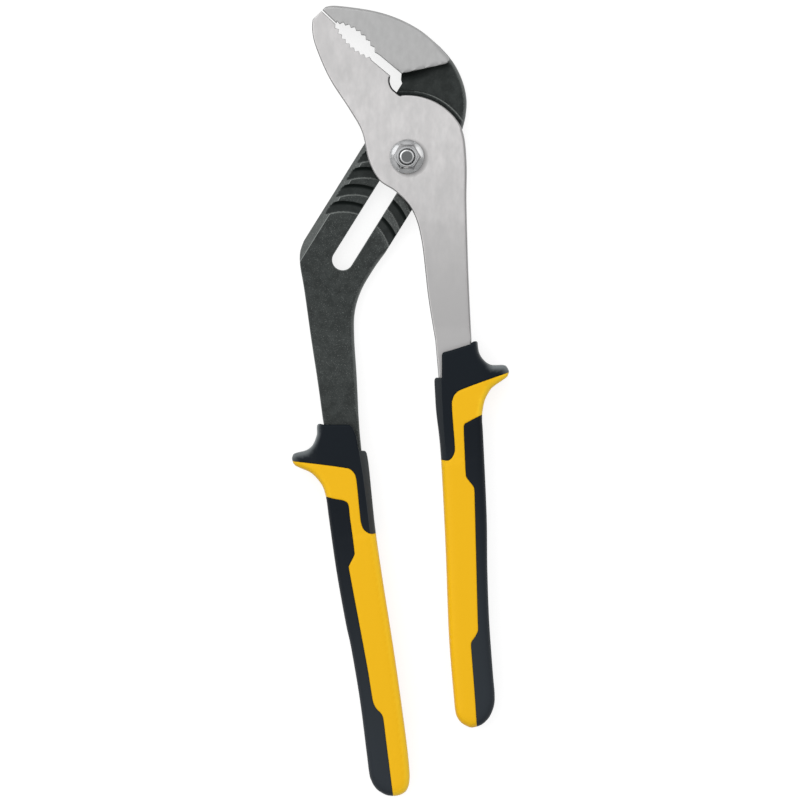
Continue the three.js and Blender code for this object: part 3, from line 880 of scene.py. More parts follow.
@dataclass
class SlottedLever(SubAssembly):
    """Slotted lever: upper jaw, grooved rails on both sides of the slot and bent left arm, dark finished.

    Its jaw has a ground face, a piece of its own because its finish differs. A table pairs distances with
    heights or tones.

    Attributes:
        half_slot: half the slot's width.
        slot_end: middle of the slot's lower end, down from the pivot.
        slot_round: rounding of the slot's edge.
        rail_right: right edge of the rails, from the slot's middle.
        settings: number of grooves.
        pitch: distance from groove to groove.
        groove: depth of a groove.
        groove_radius: inner edge of a groove, from the pivot position that it serves.
        groove_across: distances outwards from that edge, for the next three.
        groove_depths, groove_brights, groove_darks: shares of the depth, of the painted highlight on the
        lower lip and of the painted shadow under the upper edge there.
        bevel: width of the bevel down the left rail.
        bevel_depth: depth of the bevel at the rail's edge.
        bevel_start: stretch down the slot over which the bevel sets in.
        bevel_stop: where it ends.
        bevel_bright: painted light on the bevel.
        bevel_line: painted highlight against the distance from its upper edge.
        step_radius: radius of the step round the head.
        step: profile of the step, outwards from that radius.
        fillet: radius of the hollow at the foot of the jaw.
        fillet_gap: distance from the jaw to the hollow.
        brow_round: rounding of the jaw's edge there.
        heel: place where the foot of the jaw meets the side with the teeth.
        skin: thickness of the ground face, and of the lever's jaw under the teeth.
        teeth_width: how far inwards from the teeth the ground face is thick.
        face_rise, back_rise: stretches of the arm over which face and back come to the handle's.
        lands: tone of the right rail against the distance inwards from the last groove.
        edge_bright: painted highlight on rounded edges against their fall.
        rim_bright, step_bright: painted highlights against the distance from the slot and from the step.
        step_dark, brow_dark: painted shadow inside the step and beside the foot of the jaw.
        step_fade, brow_fade: shares of these tones against the place across the tool.
        recess_dark: dark tone beyond the step.
        step_from, recess_from: stretches up the tool over which the dark tones set in.
    """

    half_slot: float = 4.05
    slot_end: float = 46.8
    slot_round: float = 0.4
    rail_right: float = 12.5
    settings: int = 7
    pitch: float = 7.75
    groove: float = 1.1
    groove_radius: float = 18.2
    groove_across: Row = (-0.3, -0.05, 0.14, 0.5, 2.5, 3.3, 3.9, 4.15, 4.4)
    groove_depths: Row = (0.0, 0.11, 0.9, 1.0, 1.0, 1.0, 0.9, 0.11, 0.0)
    groove_brights: Row = (0.0, 0.7, 0.35, 0.0, 0.0, 0.0, 0.0, 0.0, 0.0)
    groove_darks: Row = (0.0, 0.0, 0.3, 0.4, 0.45, 1.0, 1.0, 0.8, 0.0)
    bevel: float = 3.0
    bevel_depth: float = 2.6
    bevel_start: Pair = (-18.0, -12.0)
    bevel_stop: float = 60.0
    bevel_bright: float = 0.2
    bevel_line: Table = ((0.0, 0.15), (1.0, 0.0))
    step_radius: float = 25.7
    step: Table = ((-0.25, 0.0, 0.2), (0.0, 0.15, 0.8))
    fillet: float = 2.4
    fillet_gap: float = 0.15
    brow_round: float = 0.35
    heel: Pair = (-2.1, 32.2)
    skin: float = 1.3
    teeth_width: float = 1.2
    face_rise: Pair = (64.0, 88.0)
    back_rise: Pair = (-76.0, -60.0)
    lands: Table = ((-30.0, -20.0, -1.0, 0.0, 9.0), (0.0, 0.1, 0.1, 0.06, 0.0))
    edge_bright: Table = ((ROUNDED, 0.4, 1.5), (0.0, 0.3, 0.42))
    rim_bright: Table = ((0.1, 0.4), (0.3, 0.0))
    step_bright: Table = ((-0.5, -0.25, 0.0, 0.2), (0.0, 0.4, 0.4, 0.0))
    step_fade: Table = ((2.0, 12.0), (0.0, 1.0))
    step_dark: Table = ((-6.0, -2.5, -0.6, -0.5), (0.0, 0.9, 0.5, 0.0))
    step_from: Pair = (3.0, 10.0)
    brow_dark: Table = ((0.0, 1.2, 2.6, 5.0), (0.3, 0.8, 0.7, 0.1))
    brow_fade: Table = ((4.0, 15.0), (1.0, 0.3))
    recess_dark: float = 0.3
    recess_from: Pair = (5.0, 9.0)
    finishes: tuple[Finish, ...] = (PHOSPHATE, JAW)

    def on_slot(self, down: float, across: float) -> Array:
        """Position from the distance down the slot and to the right of its middle."""
        return down * polar(1, -90 - SLOT_ANGLE) + across * polar(1, -SLOT_ANGLE)

    def slot_frame(self, flat: Array) -> tuple[Array, Array]:
        """Distances down the slot and to the right of its middle, from positions."""
        return flat @ polar(1, -90 - SLOT_ANGLE), flat @ polar(1, -SLOT_ANGLE)

    def teeth(self) -> Array:
        """Teeth of the upper jaw."""
        return toothed((-11.2, 39.2), (-17.5, 51), (-27, 51.9))

    def edge(self) -> Edge:
        """Outline with its roundings.

        Returns:
            Outline that is finely rounded at teeth and rails and widely round the back of the head.
        """
        teeth = self.teeth()
        arm = LEFT.place([(-14, -7.8), (-7, -7.35), (0.4, -7.1), (5, -5.2), (5, 5.2), (-14, 6.1)])
        crown = spline([(-31.4, 57.9), (-27, 58.3), (-13.7, 56.5), (-3.7, 53.5), (5.2, 48.8), (12.5, 42.7)])
        shoulder = spline([crown[-1], (17.9, 36.5), (21.4, 29.5), (23, 22.5), (22.7, 16),
                           self.on_slot(-20.5, self.rail_right)])
        inner = spline([self.on_slot(36, self.rail_right), (-12.8, -43.2), (-17.6, -51.5), (-20.1, -60),
                        (-20.3, -70), (-19.4, -84), arm[0]])
        outer = spline([arm[5], (-34.5, -86.3), (-37, -70), (-39.6, -51.5), (-41.2, -42), (-41.2, -36.6),
                        self.on_slot(48.5, RAIL_LEFT)])
        rail = np.vstack([outer[-1], self.on_slot(-23.1, RAIL_LEFT)])
        heel = np.array([(-2.3, 29.8), self.heel])
        nose = np.vstack([teeth[-1], TIP[::-1] + TIP_AWAY, crown[0]])
        return Edge([
            (rail, 0.3), (heel, 0.4), (teeth, 0.25), (nose, 0.35), (crown, 1.1), (shoulder, 1.9),
            (np.vstack([shoulder[-1], inner[0]]), 0.4), (inner, 1.8), (arm, 1.2), (outer, 0.8)])

    def slot(self) -> Edge:
        """Outline of the slot.

        Returns:
            Two half circles joined by straight sides, with a fine rounding.
        """
        top = arc((0, 0), self.half_slot, -SLOT_ANGLE, 180 - SLOT_ANGLE, 32)
        bottom = arc(self.on_slot(self.slot_end, 0), self.half_slot, 180 - SLOT_ANGLE, 360 - SLOT_ANGLE, 32)
        return Edge([(np.vstack([top, bottom, top[:1]]), self.slot_round)])

    def brow(self) -> Array:
        """Line along which the jaw stands up from the floor behind it."""
        return np.vstack([(-9, 30.7), spline([self.heel, (5.5, 33.85), (13, 35.5)]),
                          spline([(13, 35.5), (15.2, 36.1), (16.1, 37.1), (16.4, 38.4)]), (24, 60)])

    def over_grooves(self, flat: Array, values: Sequence) -> Array:
        """Largest value over all grooves.

        Args:
            flat: positions.
            values: one for each of groove_across.

        Returns:
            The value at each position, 0 beyond the grooves' ends.
        """
        result = np.zeros(len(flat))
        for setting in range(self.settings):
            away = flat - self.on_slot(setting * self.pitch, 0)
            radius = np.linalg.norm(away, axis=1)
            here = np.interp(radius - self.groove_radius, self.groove_across, values)
            above = away @ polar(1, 90 - SLOT_ANGLE) > 0.4 * radius
            result = np.maximum(result, np.where(above, here, 0))
        return result

    def guide_lines(self) -> list[Array]:
        """Lines along which the front face changes.

        Returns:
            Edges of the grooves, the bevel, the step and the foot of the jaw.
        """
        lines = []
        middle = 90 - SLOT_ANGLE
        for setting in range(self.settings):
            centre = self.on_slot(setting * self.pitch, 0)
            lines += [arc(centre, self.groove_radius + across, middle - 67, middle + 67, 60)
                      for across in self.groove_across]
        floor = self.bevel * (1 - self.groove / self.bevel_depth)
        line = self.bevel_line[0][1]
        for across in (0.6, 1.2, floor, floor + 0.4, floor + 0.8, self.bevel - line, self.bevel,
                       self.bevel + line):
            ends = [self.on_slot(down, RAIL_LEFT + across) for down in (-30, self.bevel_stop)]
            lines.append(np.vstack(ends))
        lines += [arc((0, 0), self.step_radius + across, 5, 125, 80) for across in self.step_bright[0]]
        shares = [1 - math.sin(math.radians(angle)) for angle in (0, 22.5, 45, 67.5, 90)]
        hollow = [self.fillet_gap + self.fillet * share for share in shares]
        lines += [offset(subdivide(self.brow(), 0.7), -across) for across in [0, 0.08] + hollow]
        return lines

    def tone(self, flat: Array, slant: Array, fall: Array, rim: Array, from_brow: Array) -> Array:
        """Painted light and shade on the dark finish, with some real rubbing on its edges.

        Painted highlights on the bevel and along its upper edge, on rounded edges, on the lower edge of each
        groove and on the step's edge, and lighter lands on the right rail; painted shadow under the upper
        edge of each groove, inside the step and under the jaw, and darker beyond the step.

        Args:
            flat: positions.
            slant: depth of the bevel.
            fall: fall of the face near the outline.
            rim: distance from the slot's edge.
            from_brow: distance from the foot of the jaw.

        Returns:
            The tone at each position.
        """
        x, y = flat.T
        along, across = self.slot_frame(flat)
        cut = self.groove * self.over_grooves(flat, self.groove_depths)
        land = cut < 0.05
        grooved = cut >= slant - 0.01
        on_rail = (along > self.bevel_start[1]) & (along < self.bevel_stop)
        line = np.interp(np.abs(across - RAIL_LEFT - self.bevel), *self.bevel_line)
        away = np.linalg.norm(flat, axis=1) - self.step_radius
        last = flat - self.on_slot((self.settings - 1) * self.pitch, 0)
        below = np.interp(self.groove_radius - np.linalg.norm(last, axis=1), *self.lands)
        above_last = last @ polar(1, 90 - SLOT_ANGLE) > 0
        # Painted highlights, with some real rubbing on the edges; the right rail's lands are lighter
        bright = np.maximum.reduce([
            np.where(grooved, self.over_grooves(flat, self.groove_brights), 0),
            np.where(on_rail & land, line, 0),
            np.where(on_rail & ~grooved & (slant > 0.02), self.bevel_bright, 0),
            np.where((across > 0) & land & above_last, below, 0),
            np.interp(fall, *self.edge_bright),
            np.interp(rim, *self.rim_bright),
            np.interp(away, *self.step_bright) * np.interp(x, *self.step_fade)])
        # Painted shadow in the grooves, under the jaw and inside the step; darker beyond the step
        dark = np.maximum.reduce([
            np.where(grooved, self.over_grooves(flat, self.groove_darks), 0),
            np.interp(from_brow, *self.brow_dark) * np.interp(x, *self.brow_fade),
            self.recess_dark * smooth(y, *self.recess_from) * (away > self.step[0][-1]),
            np.interp(away, *self.step_dark) * smooth(y, *self.step_from)])
        return np.where(bright > 0.05, bright, bright - dark)

    def build(self) -> list[bpy.types.Object]:
        """Lever with slot, grooves, bevelled rail and hollow under the jaw, and the jaw's ground face.

        The face of the lever is the lowest of grooves, bevel and step, plus the hollow's quarter circle
        and the arm's rise, less the roundings.

        Returns:
            The lever and the ground face.
        """
        edge, slot, brow = self.edge(), self.slot(), self.brow()
        jaw_loop = np.vstack([brow, (24, 90), (-60, 90), (-60, 30.7)])
        depths = [share * self.slot_round for share in (0.076, 0.29, 0.62, 1.0, 1.3)]
        rings = edge.rings() + [offset(slot.loop, -depth, True) for depth in depths]
        plan = Plan([edge.loop, slot.loop], self.guide_lines(), rings, dots(edge.loop, 0.9))
        flat = plan.flat
        y = flat[:, 1]
        along, across = self.slot_frame(flat)
        from_brow = distance(flat, brow)
        jaw = inside(flat, jaw_loop) | (from_brow < 0.04)
        fall = edge.fall(flat)
        rim = distance(flat, slot.loop, True)
        rim_fall = quarter_round(rim, self.slot_round)

        slant = self.bevel_depth * (1 - np.clip((across - RAIL_LEFT) / self.bevel, 0, 1))
        slant = slant * smooth(along, *self.bevel_start) * (along < self.bevel_stop)
        depth = np.maximum(self.groove * self.over_grooves(flat, self.groove_depths), slant)
        step = np.interp(np.linalg.norm(flat, axis=1) - self.step_radius, *self.step)
        depth = np.where(y > 0, np.maximum(depth, step), depth)
        near = np.clip(self.fillet + self.fillet_gap - from_brow, 0, self.fillet)
        hollow = np.where(jaw, 0, self.fillet - np.sqrt(self.fillet**2 - near**2))
        rise = (Level.HANDLE_FACE - Level.REAR_FACE) * smooth(-y, *self.face_rise)
        floor = Level.REAR_FACE - depth + hollow + rise - fall - rim_fall
        teeth = np.vstack([self.heel, self.teeth(), TIP[::-1] + TIP_AWAY])
        by_teeth = distance(flat, teeth) < self.teeth_width
        under = np.where(by_teeth, Level.BACK + self.skin, Level.FACE - self.skin)
        back = np.interp(y, self.back_rise, [Level.HANDLE_BACK, Level.BACK]) + fall + rim_fall
        lever = body_between(plan, plan.everything(), np.where(jaw, under, floor), back,
                             self.tone(flat, slant, fall, rim, from_brow))
        top = Level.FACE - np.maximum(fall, quarter_round(from_brow, self.brow_round))
        face = body_between(plan, plan.within(jaw_loop), top, under)
        return [add_piece("slotted_lever_forging", lever, Body.SLOTTED, "slotted_lever"),
                add_piece("slotted_jaw_face", face, Body.SLOTTED, "slotted_lever")]


# Pivot


@dataclass
class Pivot(SubAssembly):
    """Bolt and flange nut.

    Attributes:
        bolt: radius of the thread.
        head: radius of the bolt's head.
        neck: radius of the neck in the slot.
        shank: radius between neck and thread.
        end: radius of the flat end.
        axis: radius at which the end faces close.
        top: height of the bolt's end.
        thread_from: height where the thread starts.
        pitch: rise of the thread in a turn.
        thread: depth of the thread.
        bore: radius of the nut's bore.
        crown: radius of the nut's flat top.
        flange: radius of the nut's flange.
        flat: half the nut's width across flats.
        corner: radius of the hexagon's corners over that half width.
        height: height of the nut.
        glints: angle and half width in degrees and strength of each glint on the skirt.
    """

    bolt: float = 2.85
    head: float = 8.0
    neck: float = 3.75
    shank: float = 2.95
    end: float = 2.25
    axis: float = 0.4
    top: float = 20.5
    thread_from: float = 12.8
    pitch: float = 1.0
    thread: float = 0.45
    bore: float = 3.25
    crown: float = 3.75
    flange: float = 6.6
    flat: float = 4.6
    corner: float = 1.145
    height: float = 6.0
    glints: tuple[tuple[float, float, float], ...] = ((150, 26, -0.2), (20, 32, 0.5))
    finishes: tuple[Finish, ...] = (ZINC, ZINC)

    def build(self) -> list[bpy.types.Object]:
        """Makes the bolt and the nut."""
        return [self.build_bolt(), self.build_nut()]

    def build_bolt(self) -> bpy.types.Object:
        """Turned bolt whose upper shank has a thread: the radius falls and rises once a pitch along a helix.

        Returns:
            The bolt, whose end is dark.
        """
        columns = 72
        turn = np.linspace(0, 1, columns, endpoint=False)
        lower = np.array([
            (self.axis, 0), (self.head - 1, 0), (self.head - 0.4, 0.2), (self.head, 0.75), (self.head, 2.0),
            (self.head - 0.2, BOLT_HEAD), (self.neck, BOLT_HEAD), (self.neck, Level.REAR_FACE),
            (self.shank, Level.REAR_FACE), (self.shank, self.thread_from - 0.3)])
        run = np.linspace(self.thread_from, self.top - 1.0, 64)
        phase = np.abs(2 * ((run[:, None] / self.pitch - turn) % 1) - 1)
        # The clip leaves narrow flats at crest and root
        thread = self.bolt - self.thread * np.clip(1.3 * phase - 0.15, 0, 1)
        upper = np.array([
            (self.bolt - 0.05, self.top - 0.75), (self.bolt - 0.13, self.top - 0.25),
            (self.end + 0.17, self.top - 0.06), (self.end, self.top), (self.end - 0.13, self.top),
            (self.axis, self.top)])
        radii = np.vstack([np.repeat(lower[:, :1], columns, 1), thread, np.repeat(upper[:, :1], columns, 1)])
        heights = np.concatenate([lower[:, 1], run, upper[:, 1]])
        shape = around(radii, np.repeat(heights[:, None], columns, 1), False)
        shape.tone = np.where(np.hypot(*shape.points[:, :2].T) < self.end - 0.08, -1.0, 0.0)
        return add_piece("pivot_bolt_turned", shape, Body.PIVOT, "pivot_bolt", crease=28)

    def build_nut(self) -> bpy.types.Object:
        """Hexagon with a domed skirt: the hexagon's radius is the flat's over the cosine from its middle.

        Returns:
            The nut, with painted glints on its skirt, painted dark reflections on hexagon and crown, and
            painted shade at the flange's rim.
        """
        angle = np.linspace(0, 2 * np.pi, 144, endpoint=False)
        turn = (angle % (np.pi / 3)) - np.pi / 6
        hexagon = np.minimum(self.flat / np.cos(turn), self.flat * self.corner)
        flange, crown, bore, top = self.flange, self.crown, self.bore, self.height
        slope = top - 1.15 * (hexagon - crown)
        # Radius, height above the seat, share of the painted glints, and painted tone
        rows = [
            (bore, 0, 0, 0), (flange - 0.3, 0, 0, 0), (flange, 0.3, 0, -0.5), (flange, 0.8, 0, -0.5),
            (flange - 0.25, 1.1, 0.2, 0), (0.45 * (flange - 0.3) + 0.55 * hexagon, 1.65, 1, 0),
            (hexagon + 0.1, 2.05, 1, 0), (hexagon, 2.3, 0, -0.24), (hexagon, slope - 0.15, 0, -0.35),
            (hexagon - 0.08, slope, 0, -0.3), ((hexagon + crown + 0.05) / 2, (slope + top) / 2, 0, -0.4),
            (crown + 0.1, top - 0.06, 0, -0.4), (crown, top, 0, -0.25), (bore + 0.15, top, 0, -0.25),
            (bore, top - 0.1, 0, -0.4), (bore - 0.1, top - 0.75, 0, -0.4)]
        radii, heights, shares, tones = (
            np.array([np.broadcast_to(value, len(angle)) for value in column]) for column in zip(*rows))
        shape = around(radii, Level.SEAT + heights, True)
        degrees = np.degrees(angle)
        # Painted reflections on the skirt, lighter or dimmer at set angles
        glint = sum(strength * smooth(half - np.abs((degrees - middle + 180) % 360 - 180), 0, half / 2)
                    for middle, half, strength in self.glints)
        shape.tone = (shares * glint + tones).ravel()
        return add_piece("flange_nut_formed", shape, Body.PIVOT, "flange_nut", crease=26)


# Grips


@dataclass
class Grip(SubAssembly):
    """Grip in three materials: core, collar with thumb guard, and pad.

    Points are along and across values from the top of the inner side. A table pairs distances with sizes
    or tones.

    Attributes:
        handle: place of the grip.
        body: what it moves with.
        cut: crisp upper edge of the collar, from the inner side to the outer one.
        outer: outer edge, from the collar over the guard to the end.
        inner: inner edge, from the end to the top of the strip.
        collar: lower edge of the collar.
        pad: inner edge of the pad.
        sheen: painted light on the facet down the inner side.
        shine: painted highlight on the collar's hollow brim and on the guard's ledge.
        deep: half thickness.
        square: power of the rounded square that the edges follow.
        brim_round: width of the rounding inside the brim of collar and guard.
        long_round: width of the rounding inside the rest of the edge, against the place along.
        crisp_round: rounding of the crisp edge.
        guard_tip: place along at which the brim ends and the rest of the edge begins.
        guard_thin: share by which the guard's tip is thinner.
        guard_from: stretch across over which it becomes thinner.
        ridge: along and across values of the facet's upper edge.
        facet: drop at that edge, slope across, and least half thickness.
        seam: depth of a seam against the distance from its middle.
        facet_bright: share of the sheen against the distance below the ridge.
        hollow_bright, ledge_bright: shares of the shine against the distance from brim and ledge.
        ledge_from: stretch across over which the ledge takes over from the brim.
        brim_fade: stretch along over which the brim loses shine.
        brim_loss: share that it loses.
        core_bright: painted light on the core against the distance from the edge.
        core_dim: share of that at the tool's left.
        core_from: stretch across over which the core becomes brighter.
        end_bright: stretch along over which the pad becomes lighter.
        collar_end: share of that on the collar.
    """

    handle: Handle
    body: Body
    cut: list[Pair]
    outer: list[Pair]
    inner: list[Pair]
    collar: list[Pair]
    pad: list[Pair]
    sheen: float
    shine: Pair
    deep: float = 8.0
    square: float = 4.0
    brim_round: float = 2.6
    long_round: Table = ((8.0, 30.0), (3.2, 5.0))
    crisp_round: float = 0.8
    guard_tip: float = 1.0
    guard_thin: float = 0.17
    guard_from: Pair = (8.0, 17.0)
    ridge: Table = ((0.0, 8.0, 20.0, 33.0), (-6.2, -6.5, -6.5, -6.3))
    facet: tuple[float, float, float] = (0.25, 1.5, 3.0)
    seam: Table = ((0.0, 0.1, 0.32), (0.28, 0.08, 0.0))
    facet_bright: Table = ((-0.2, 0.0, 0.2, 2.0), (0.0, 0.8, 0.6, 1.0))
    hollow_bright: Table = ((0.3, 0.7, 1.0, 1.4, 1.9), (0.85, 0.45, 0.2, 0.07, 0.0))
    ledge_bright: Table = ((0.4, 1.0, 2.0, 2.5, 3.2), (1.0, 0.85, 0.27, 0.08, 0.0))
    ledge_from: Pair = (10.5, 14.5)
    brim_fade: Pair = (-2.0, 0.5)
    brim_loss: float = 0.6
    core_bright: Table = ((0.8, 2.4), (1.0, 0.0))
    core_dim: float = 0.3
    core_from: Pair = (-2.0, 2.0)
    end_bright: Pair = (15.0, 125.0)
    collar_end: float = 0.25
    finishes: tuple[Finish, ...] = (YELLOW, BLACK, PAD)

    def swell(self, depth: Array, width: float | Array) -> Array:
        """Rounded-square quarter that rises to the half thickness over a width inside an edge."""
        share = 1 - np.clip(depth / width, 0, 1)
        return self.deep * (1 - share**self.square) ** (1 / self.square)

    def height(self, flat: Array, brim: Array, soft: Array, crisp: Array) -> Array:
        """Half thickness over the plan.

        It is the lower of two swells, a short one inside the brim of collar and guard and a long one inside
        the rest of the edge. It is thinner towards the tip of the guard, falls away in a facet along the
        strip down the inner side, and has a small round at the crisp edge.

        Args:
            flat: along and across values.
            brim: line along collar and guard.
            soft: line along the rest of the rounded edge.
            crisp: line along the crisp edge.

        Returns:
            The half thickness at each of them.
        """
        along, across = flat.T
        long_swell = self.swell(distance(flat, soft), np.interp(along, *self.long_round))
        half = np.minimum(self.swell(distance(flat, brim), self.brim_round), long_swell)
        half = half * (1 - self.guard_thin * smooth(across, *self.guard_from))
        drop, slope, least = self.facet
        facet = self.deep - drop - slope * np.maximum(np.interp(along, *self.ridge) - across, 0)
        half = np.where(along < self.ridge[0][-1], np.minimum(half, np.maximum(facet, least)), half)
        return half - quarter_round(distance(flat, crisp), self.crisp_round)

    def tones(self, flat: Array, brim: Array, edge: Array) -> dict[Layer, Array]:
        """Painted light on each material.

        The core has painted light along its rounded edge, most at the tool's right. The collar has painted
        highlights inside its brim, most on the guard's ledge, and on the facet and its ridge. The pad is
        brighter towards the grip's end.

        Args:
            flat: along and across values.
            brim: line along collar and guard.
            edge: line along the whole rounded edge.

        Returns:
            Tones of each moulding.
        """
        along, across = flat.T
        near_brim = distance(flat, brim)
        below = np.interp(along, *self.ridge) - across
        # Painted light on the facet down the inner side
        facet = np.where(along < self.ridge[0][-1], np.interp(below, *self.facet_bright) * self.sheen, 0)
        # Painted highlight inside the brim, wider on the guard's ledge
        narrow = self.shine[0] * np.interp(near_brim, *self.hollow_bright)
        wide = self.shine[1] * np.interp(near_brim, *self.ledge_bright)
        shine = narrow + (wide - narrow) * smooth(across, *self.ledge_from)
        shine = shine * (1 - self.brim_loss * smooth(along, *self.brim_fade))
        # Painted light along the core's edge, weaker at the tool's left
        lit = smooth(self.handle.side.value * across, *self.core_from)
        lit = self.core_dim + (1 - self.core_dim) * lit
        end = smooth(along, *self.end_bright)
        return {
            Layer.CORE: np.interp(distance(flat, edge), *self.core_bright) * lit,
            Layer.COLLAR: np.maximum.reduce([facet, shine, self.collar_end * end]),
            Layer.PAD: end}

    def build(self) -> list[bpy.types.Object]:
        """Core, collar and pad over one plan, parted by fine seams.

        Returns:
            The three pieces.
        """
        crisp = subdivide(np.array(self.cut, float), 0.7)
        outer, inner = (subdivide(spline(line, 8), 0.8) for line in (self.outer, self.inner))
        collar, pad = (subdivide(spline(line, 8), 0.7) for line in (self.collar, self.pad))
        edge = np.vstack([outer, inner[1:]])
        loop = np.vstack([crisp[:-1], edge[:-1]])
        inwards = np.sign(area(loop))
        shares = [1 - math.cos(math.radians(angle)) ** (2 / self.square) for angle in (6, 14, 24, 36, 50)]
        rings = [offset(loop, inwards * self.deep * share, True) for share in shares]
        lines = [offset(np.array(self.ridge).T, side) for side in self.facet_bright[0][:3]]
        middle, lip, rim = self.seam[0]
        lines += [offset(line, side) for line in (collar, pad) for side in (-rim, -lip, middle, lip, rim)]
        lines += [offset(crisp, inwards * depth) for depth in (0.06, 0.24, 0.5, self.crisp_round)]
        plan = Plan([loop], lines, rings, dots(loop, 1.1))
        flat = plan.flat
        guard_end = np.argmax(outer[:, 0] > self.guard_tip)
        brim, soft = outer[:guard_end], np.vstack([outer[guard_end - 1:], inner[1:]])
        seam = np.interp(np.minimum(distance(flat, collar), distance(flat, pad)), *self.seam)
        half = np.maximum(self.height(flat, brim, soft, crisp) - seam, 0)
        tones = self.tones(flat, brim, edge)
        in_collar = plan.within(np.vstack([collar, (40, -30), (-40, -30), (-40, 40), (0.2, 40)]))
        in_pad = plan.within(np.vstack([pad, (160, 40), (10, 40)])) & ~in_collar
        plan.flat = self.handle.place(flat)
        if area(plan.flat[plan.triangles[0]]) < 0:
            plan.triangles = plan.triangles[:, ::-1]
        pieces = []
        side = self.handle.side.name.lower()
        layers = {Layer.CORE: ~(in_collar | in_pad), Layer.COLLAR: in_collar, Layer.PAD: in_pad}
        for layer, chosen in layers.items():
            shape = body_between(plan, chosen, Level.MIDDLE + half, Level.MIDDLE - half, tones[layer])
            pieces.append(add_piece(f"{side}_{layer.value}_moulding", shape, self.body,
                                    f"{side}_grip_{layer.value}", crease=50))
        return pieces


def left_grip() -> Grip:
    """Grip on the slotted lever.

    Returns:
        Grip whose collar has a painted highlight in its hollow brim.
    """
    return Grip(
        LEFT, Body.SLOTTED,
        cut=[(0.1, -8.3), (-0.1, -7.2), (0.2, -6.25), (-1.4, -6.05), (-5.6, -5.9), (-8.2, -5.35),
             (-9.6, -4.8), (-10.5, -3.9), (-10.9, -2.1), (-12.0, 6.1), (-12.45, 7.2), (-12.5, 8.0),
             (-12.2, 8.5)],
        outer=[(-12.2, 8.5), (-11.5, 8.75), (-8.5, 9.2), (-5.5, 10.75), (-4, 12.2), (-3, 14.4), (-2.5, 18.5),
               (-1.5, 19.6), (0, 19.9), (2.3, 18.9), (5, 14.5), (6.5, 12.7), (9.5, 10.6), (12.5, 9.35),
               (17, 8.8), (25, 8.8), (45, 8.6), (65, 7.7), (75, 6.9), (95, 6.2), (115, 6.3), (124, 6.35),
               (126.7, 5.9), (128.7, 5.2), (130.7, 3.85), (132.7, 1.3), (133.5, -0.9), (133.75, -3)],
        inner=[(133.75, -3), (133.5, -4.7), (132.7, -6.45), (131.7, -7.4), (129.4, -8.5), (124, -9.25),
               (110, -9.55), (80, -9.35), (50, -8.65), (30, -8.45), (8, -9.1), (2.2, -9.05), (0.7, -8.8),
               (0.1, -8.3)],
        collar=[(-0.6, 24), (3.5, 7.8), (5.8, -0.3), (6.5, -1.85), (8, -3.05), (9.5, -3.55), (13, -3.65),
                (25, -3.25), (28, -3.35), (30.2, -4), (31.8, -5.6), (32.3, -7.4), (32.1, -12)],
        pad=[(14.4, 14), (15.7, 9), (17, 5.65), (18.2, 2.1), (20, 0.65), (25, 0.7), (32, 0.65), (37.5, 0.7),
             (39.6, 1), (43, 3.3), (44.4, 3.65), (50, 3.4), (80, 1.8), (90, 1.45), (95.5, 1.3), (97.5, 1),
             (99.5, 0.2), (101, -1), (102.6, -1.7), (105, -1.85), (115, -1.75), (140, -1.6)],
        # Painted light on the facet and painted highlights on brim and ledge
        sheen=0.18, shine=(0.85, 0.6))


def right_grip() -> Grip:
    """Grip on the front lever.

    Returns:
        Grip whose collar has a painted highlight on the guard's ledge.
    """
    return Grip(
        RIGHT, Body.FRONT,
        cut=[(0.3, -8.3), (0.3, -7.2), (0.5, -6), (-4, -5.7), (-8.3, -5.4), (-9.1, -5.05), (-9.4, -4.3),
             (-9.9, -1.8), (-11.8, 5.9), (-12.3, 6.4), (-12.75, 7), (-12.8, 8.2), (-12.3, 8.7)],
        outer=[(-12.3, 8.7), (-8.5, 9), (-5.5, 10.55), (-3.4, 13.3), (-3, 18), (-2.1, 19.4), (-0.4, 20.05),
               (0.9, 19.65), (2, 18.8), (5, 13.9), (6.5, 12.3), (9.5, 10.4), (12.5, 9.35), (17, 8.6),
               (25, 8.55), (55, 8), (75, 7), (95, 6.45), (115, 6.6), (123.5, 6.8), (128, 6.25), (132, 4.4),
               (134.3, 2.2), (135.4, 0.2), (135.95, -2.2)],
        inner=[(135.95, -2.2), (135.7, -3.9), (133.8, -6.8), (131.2, -8.4), (129, -8.8), (125, -9),
               (100, -9.45), (65, -8.6), (30, -8.25), (14, -8.95), (8, -9), (2.2, -8.95), (0.9, -8.75),
               (0.3, -8.3)],
        collar=[(-0.9, 24), (0.3, 19), (5, 2.85), (6.9, -1), (9.5, -2.45), (12, -2.75), (17, -2.75),
                (27, -2.6), (29.8, -3), (31.7, -4.2), (32.5, -5.8), (31.9, -9), (31.6, -12)],
        pad=[(13.6, 14), (15.5, 9), (18.4, 2.5), (19, 1.7), (20.2, 1.3), (25, 1.15), (32, 1), (37.5, 0.95),
             (39.6, 1.25), (43, 3.5), (44.6, 3.85), (50, 3.7), (90, 2.2), (97.5, 1.95), (99.2, 1.65),
             (101, 0.6), (102.6, -0.7), (104, -1.15), (107, -1.15), (125, -0.9), (142, -0.9)],
        # Painted light on the facet and painted highlights on brim and ledge
        sheen=0.06, shine=(0.22, 0.75))


# Studio


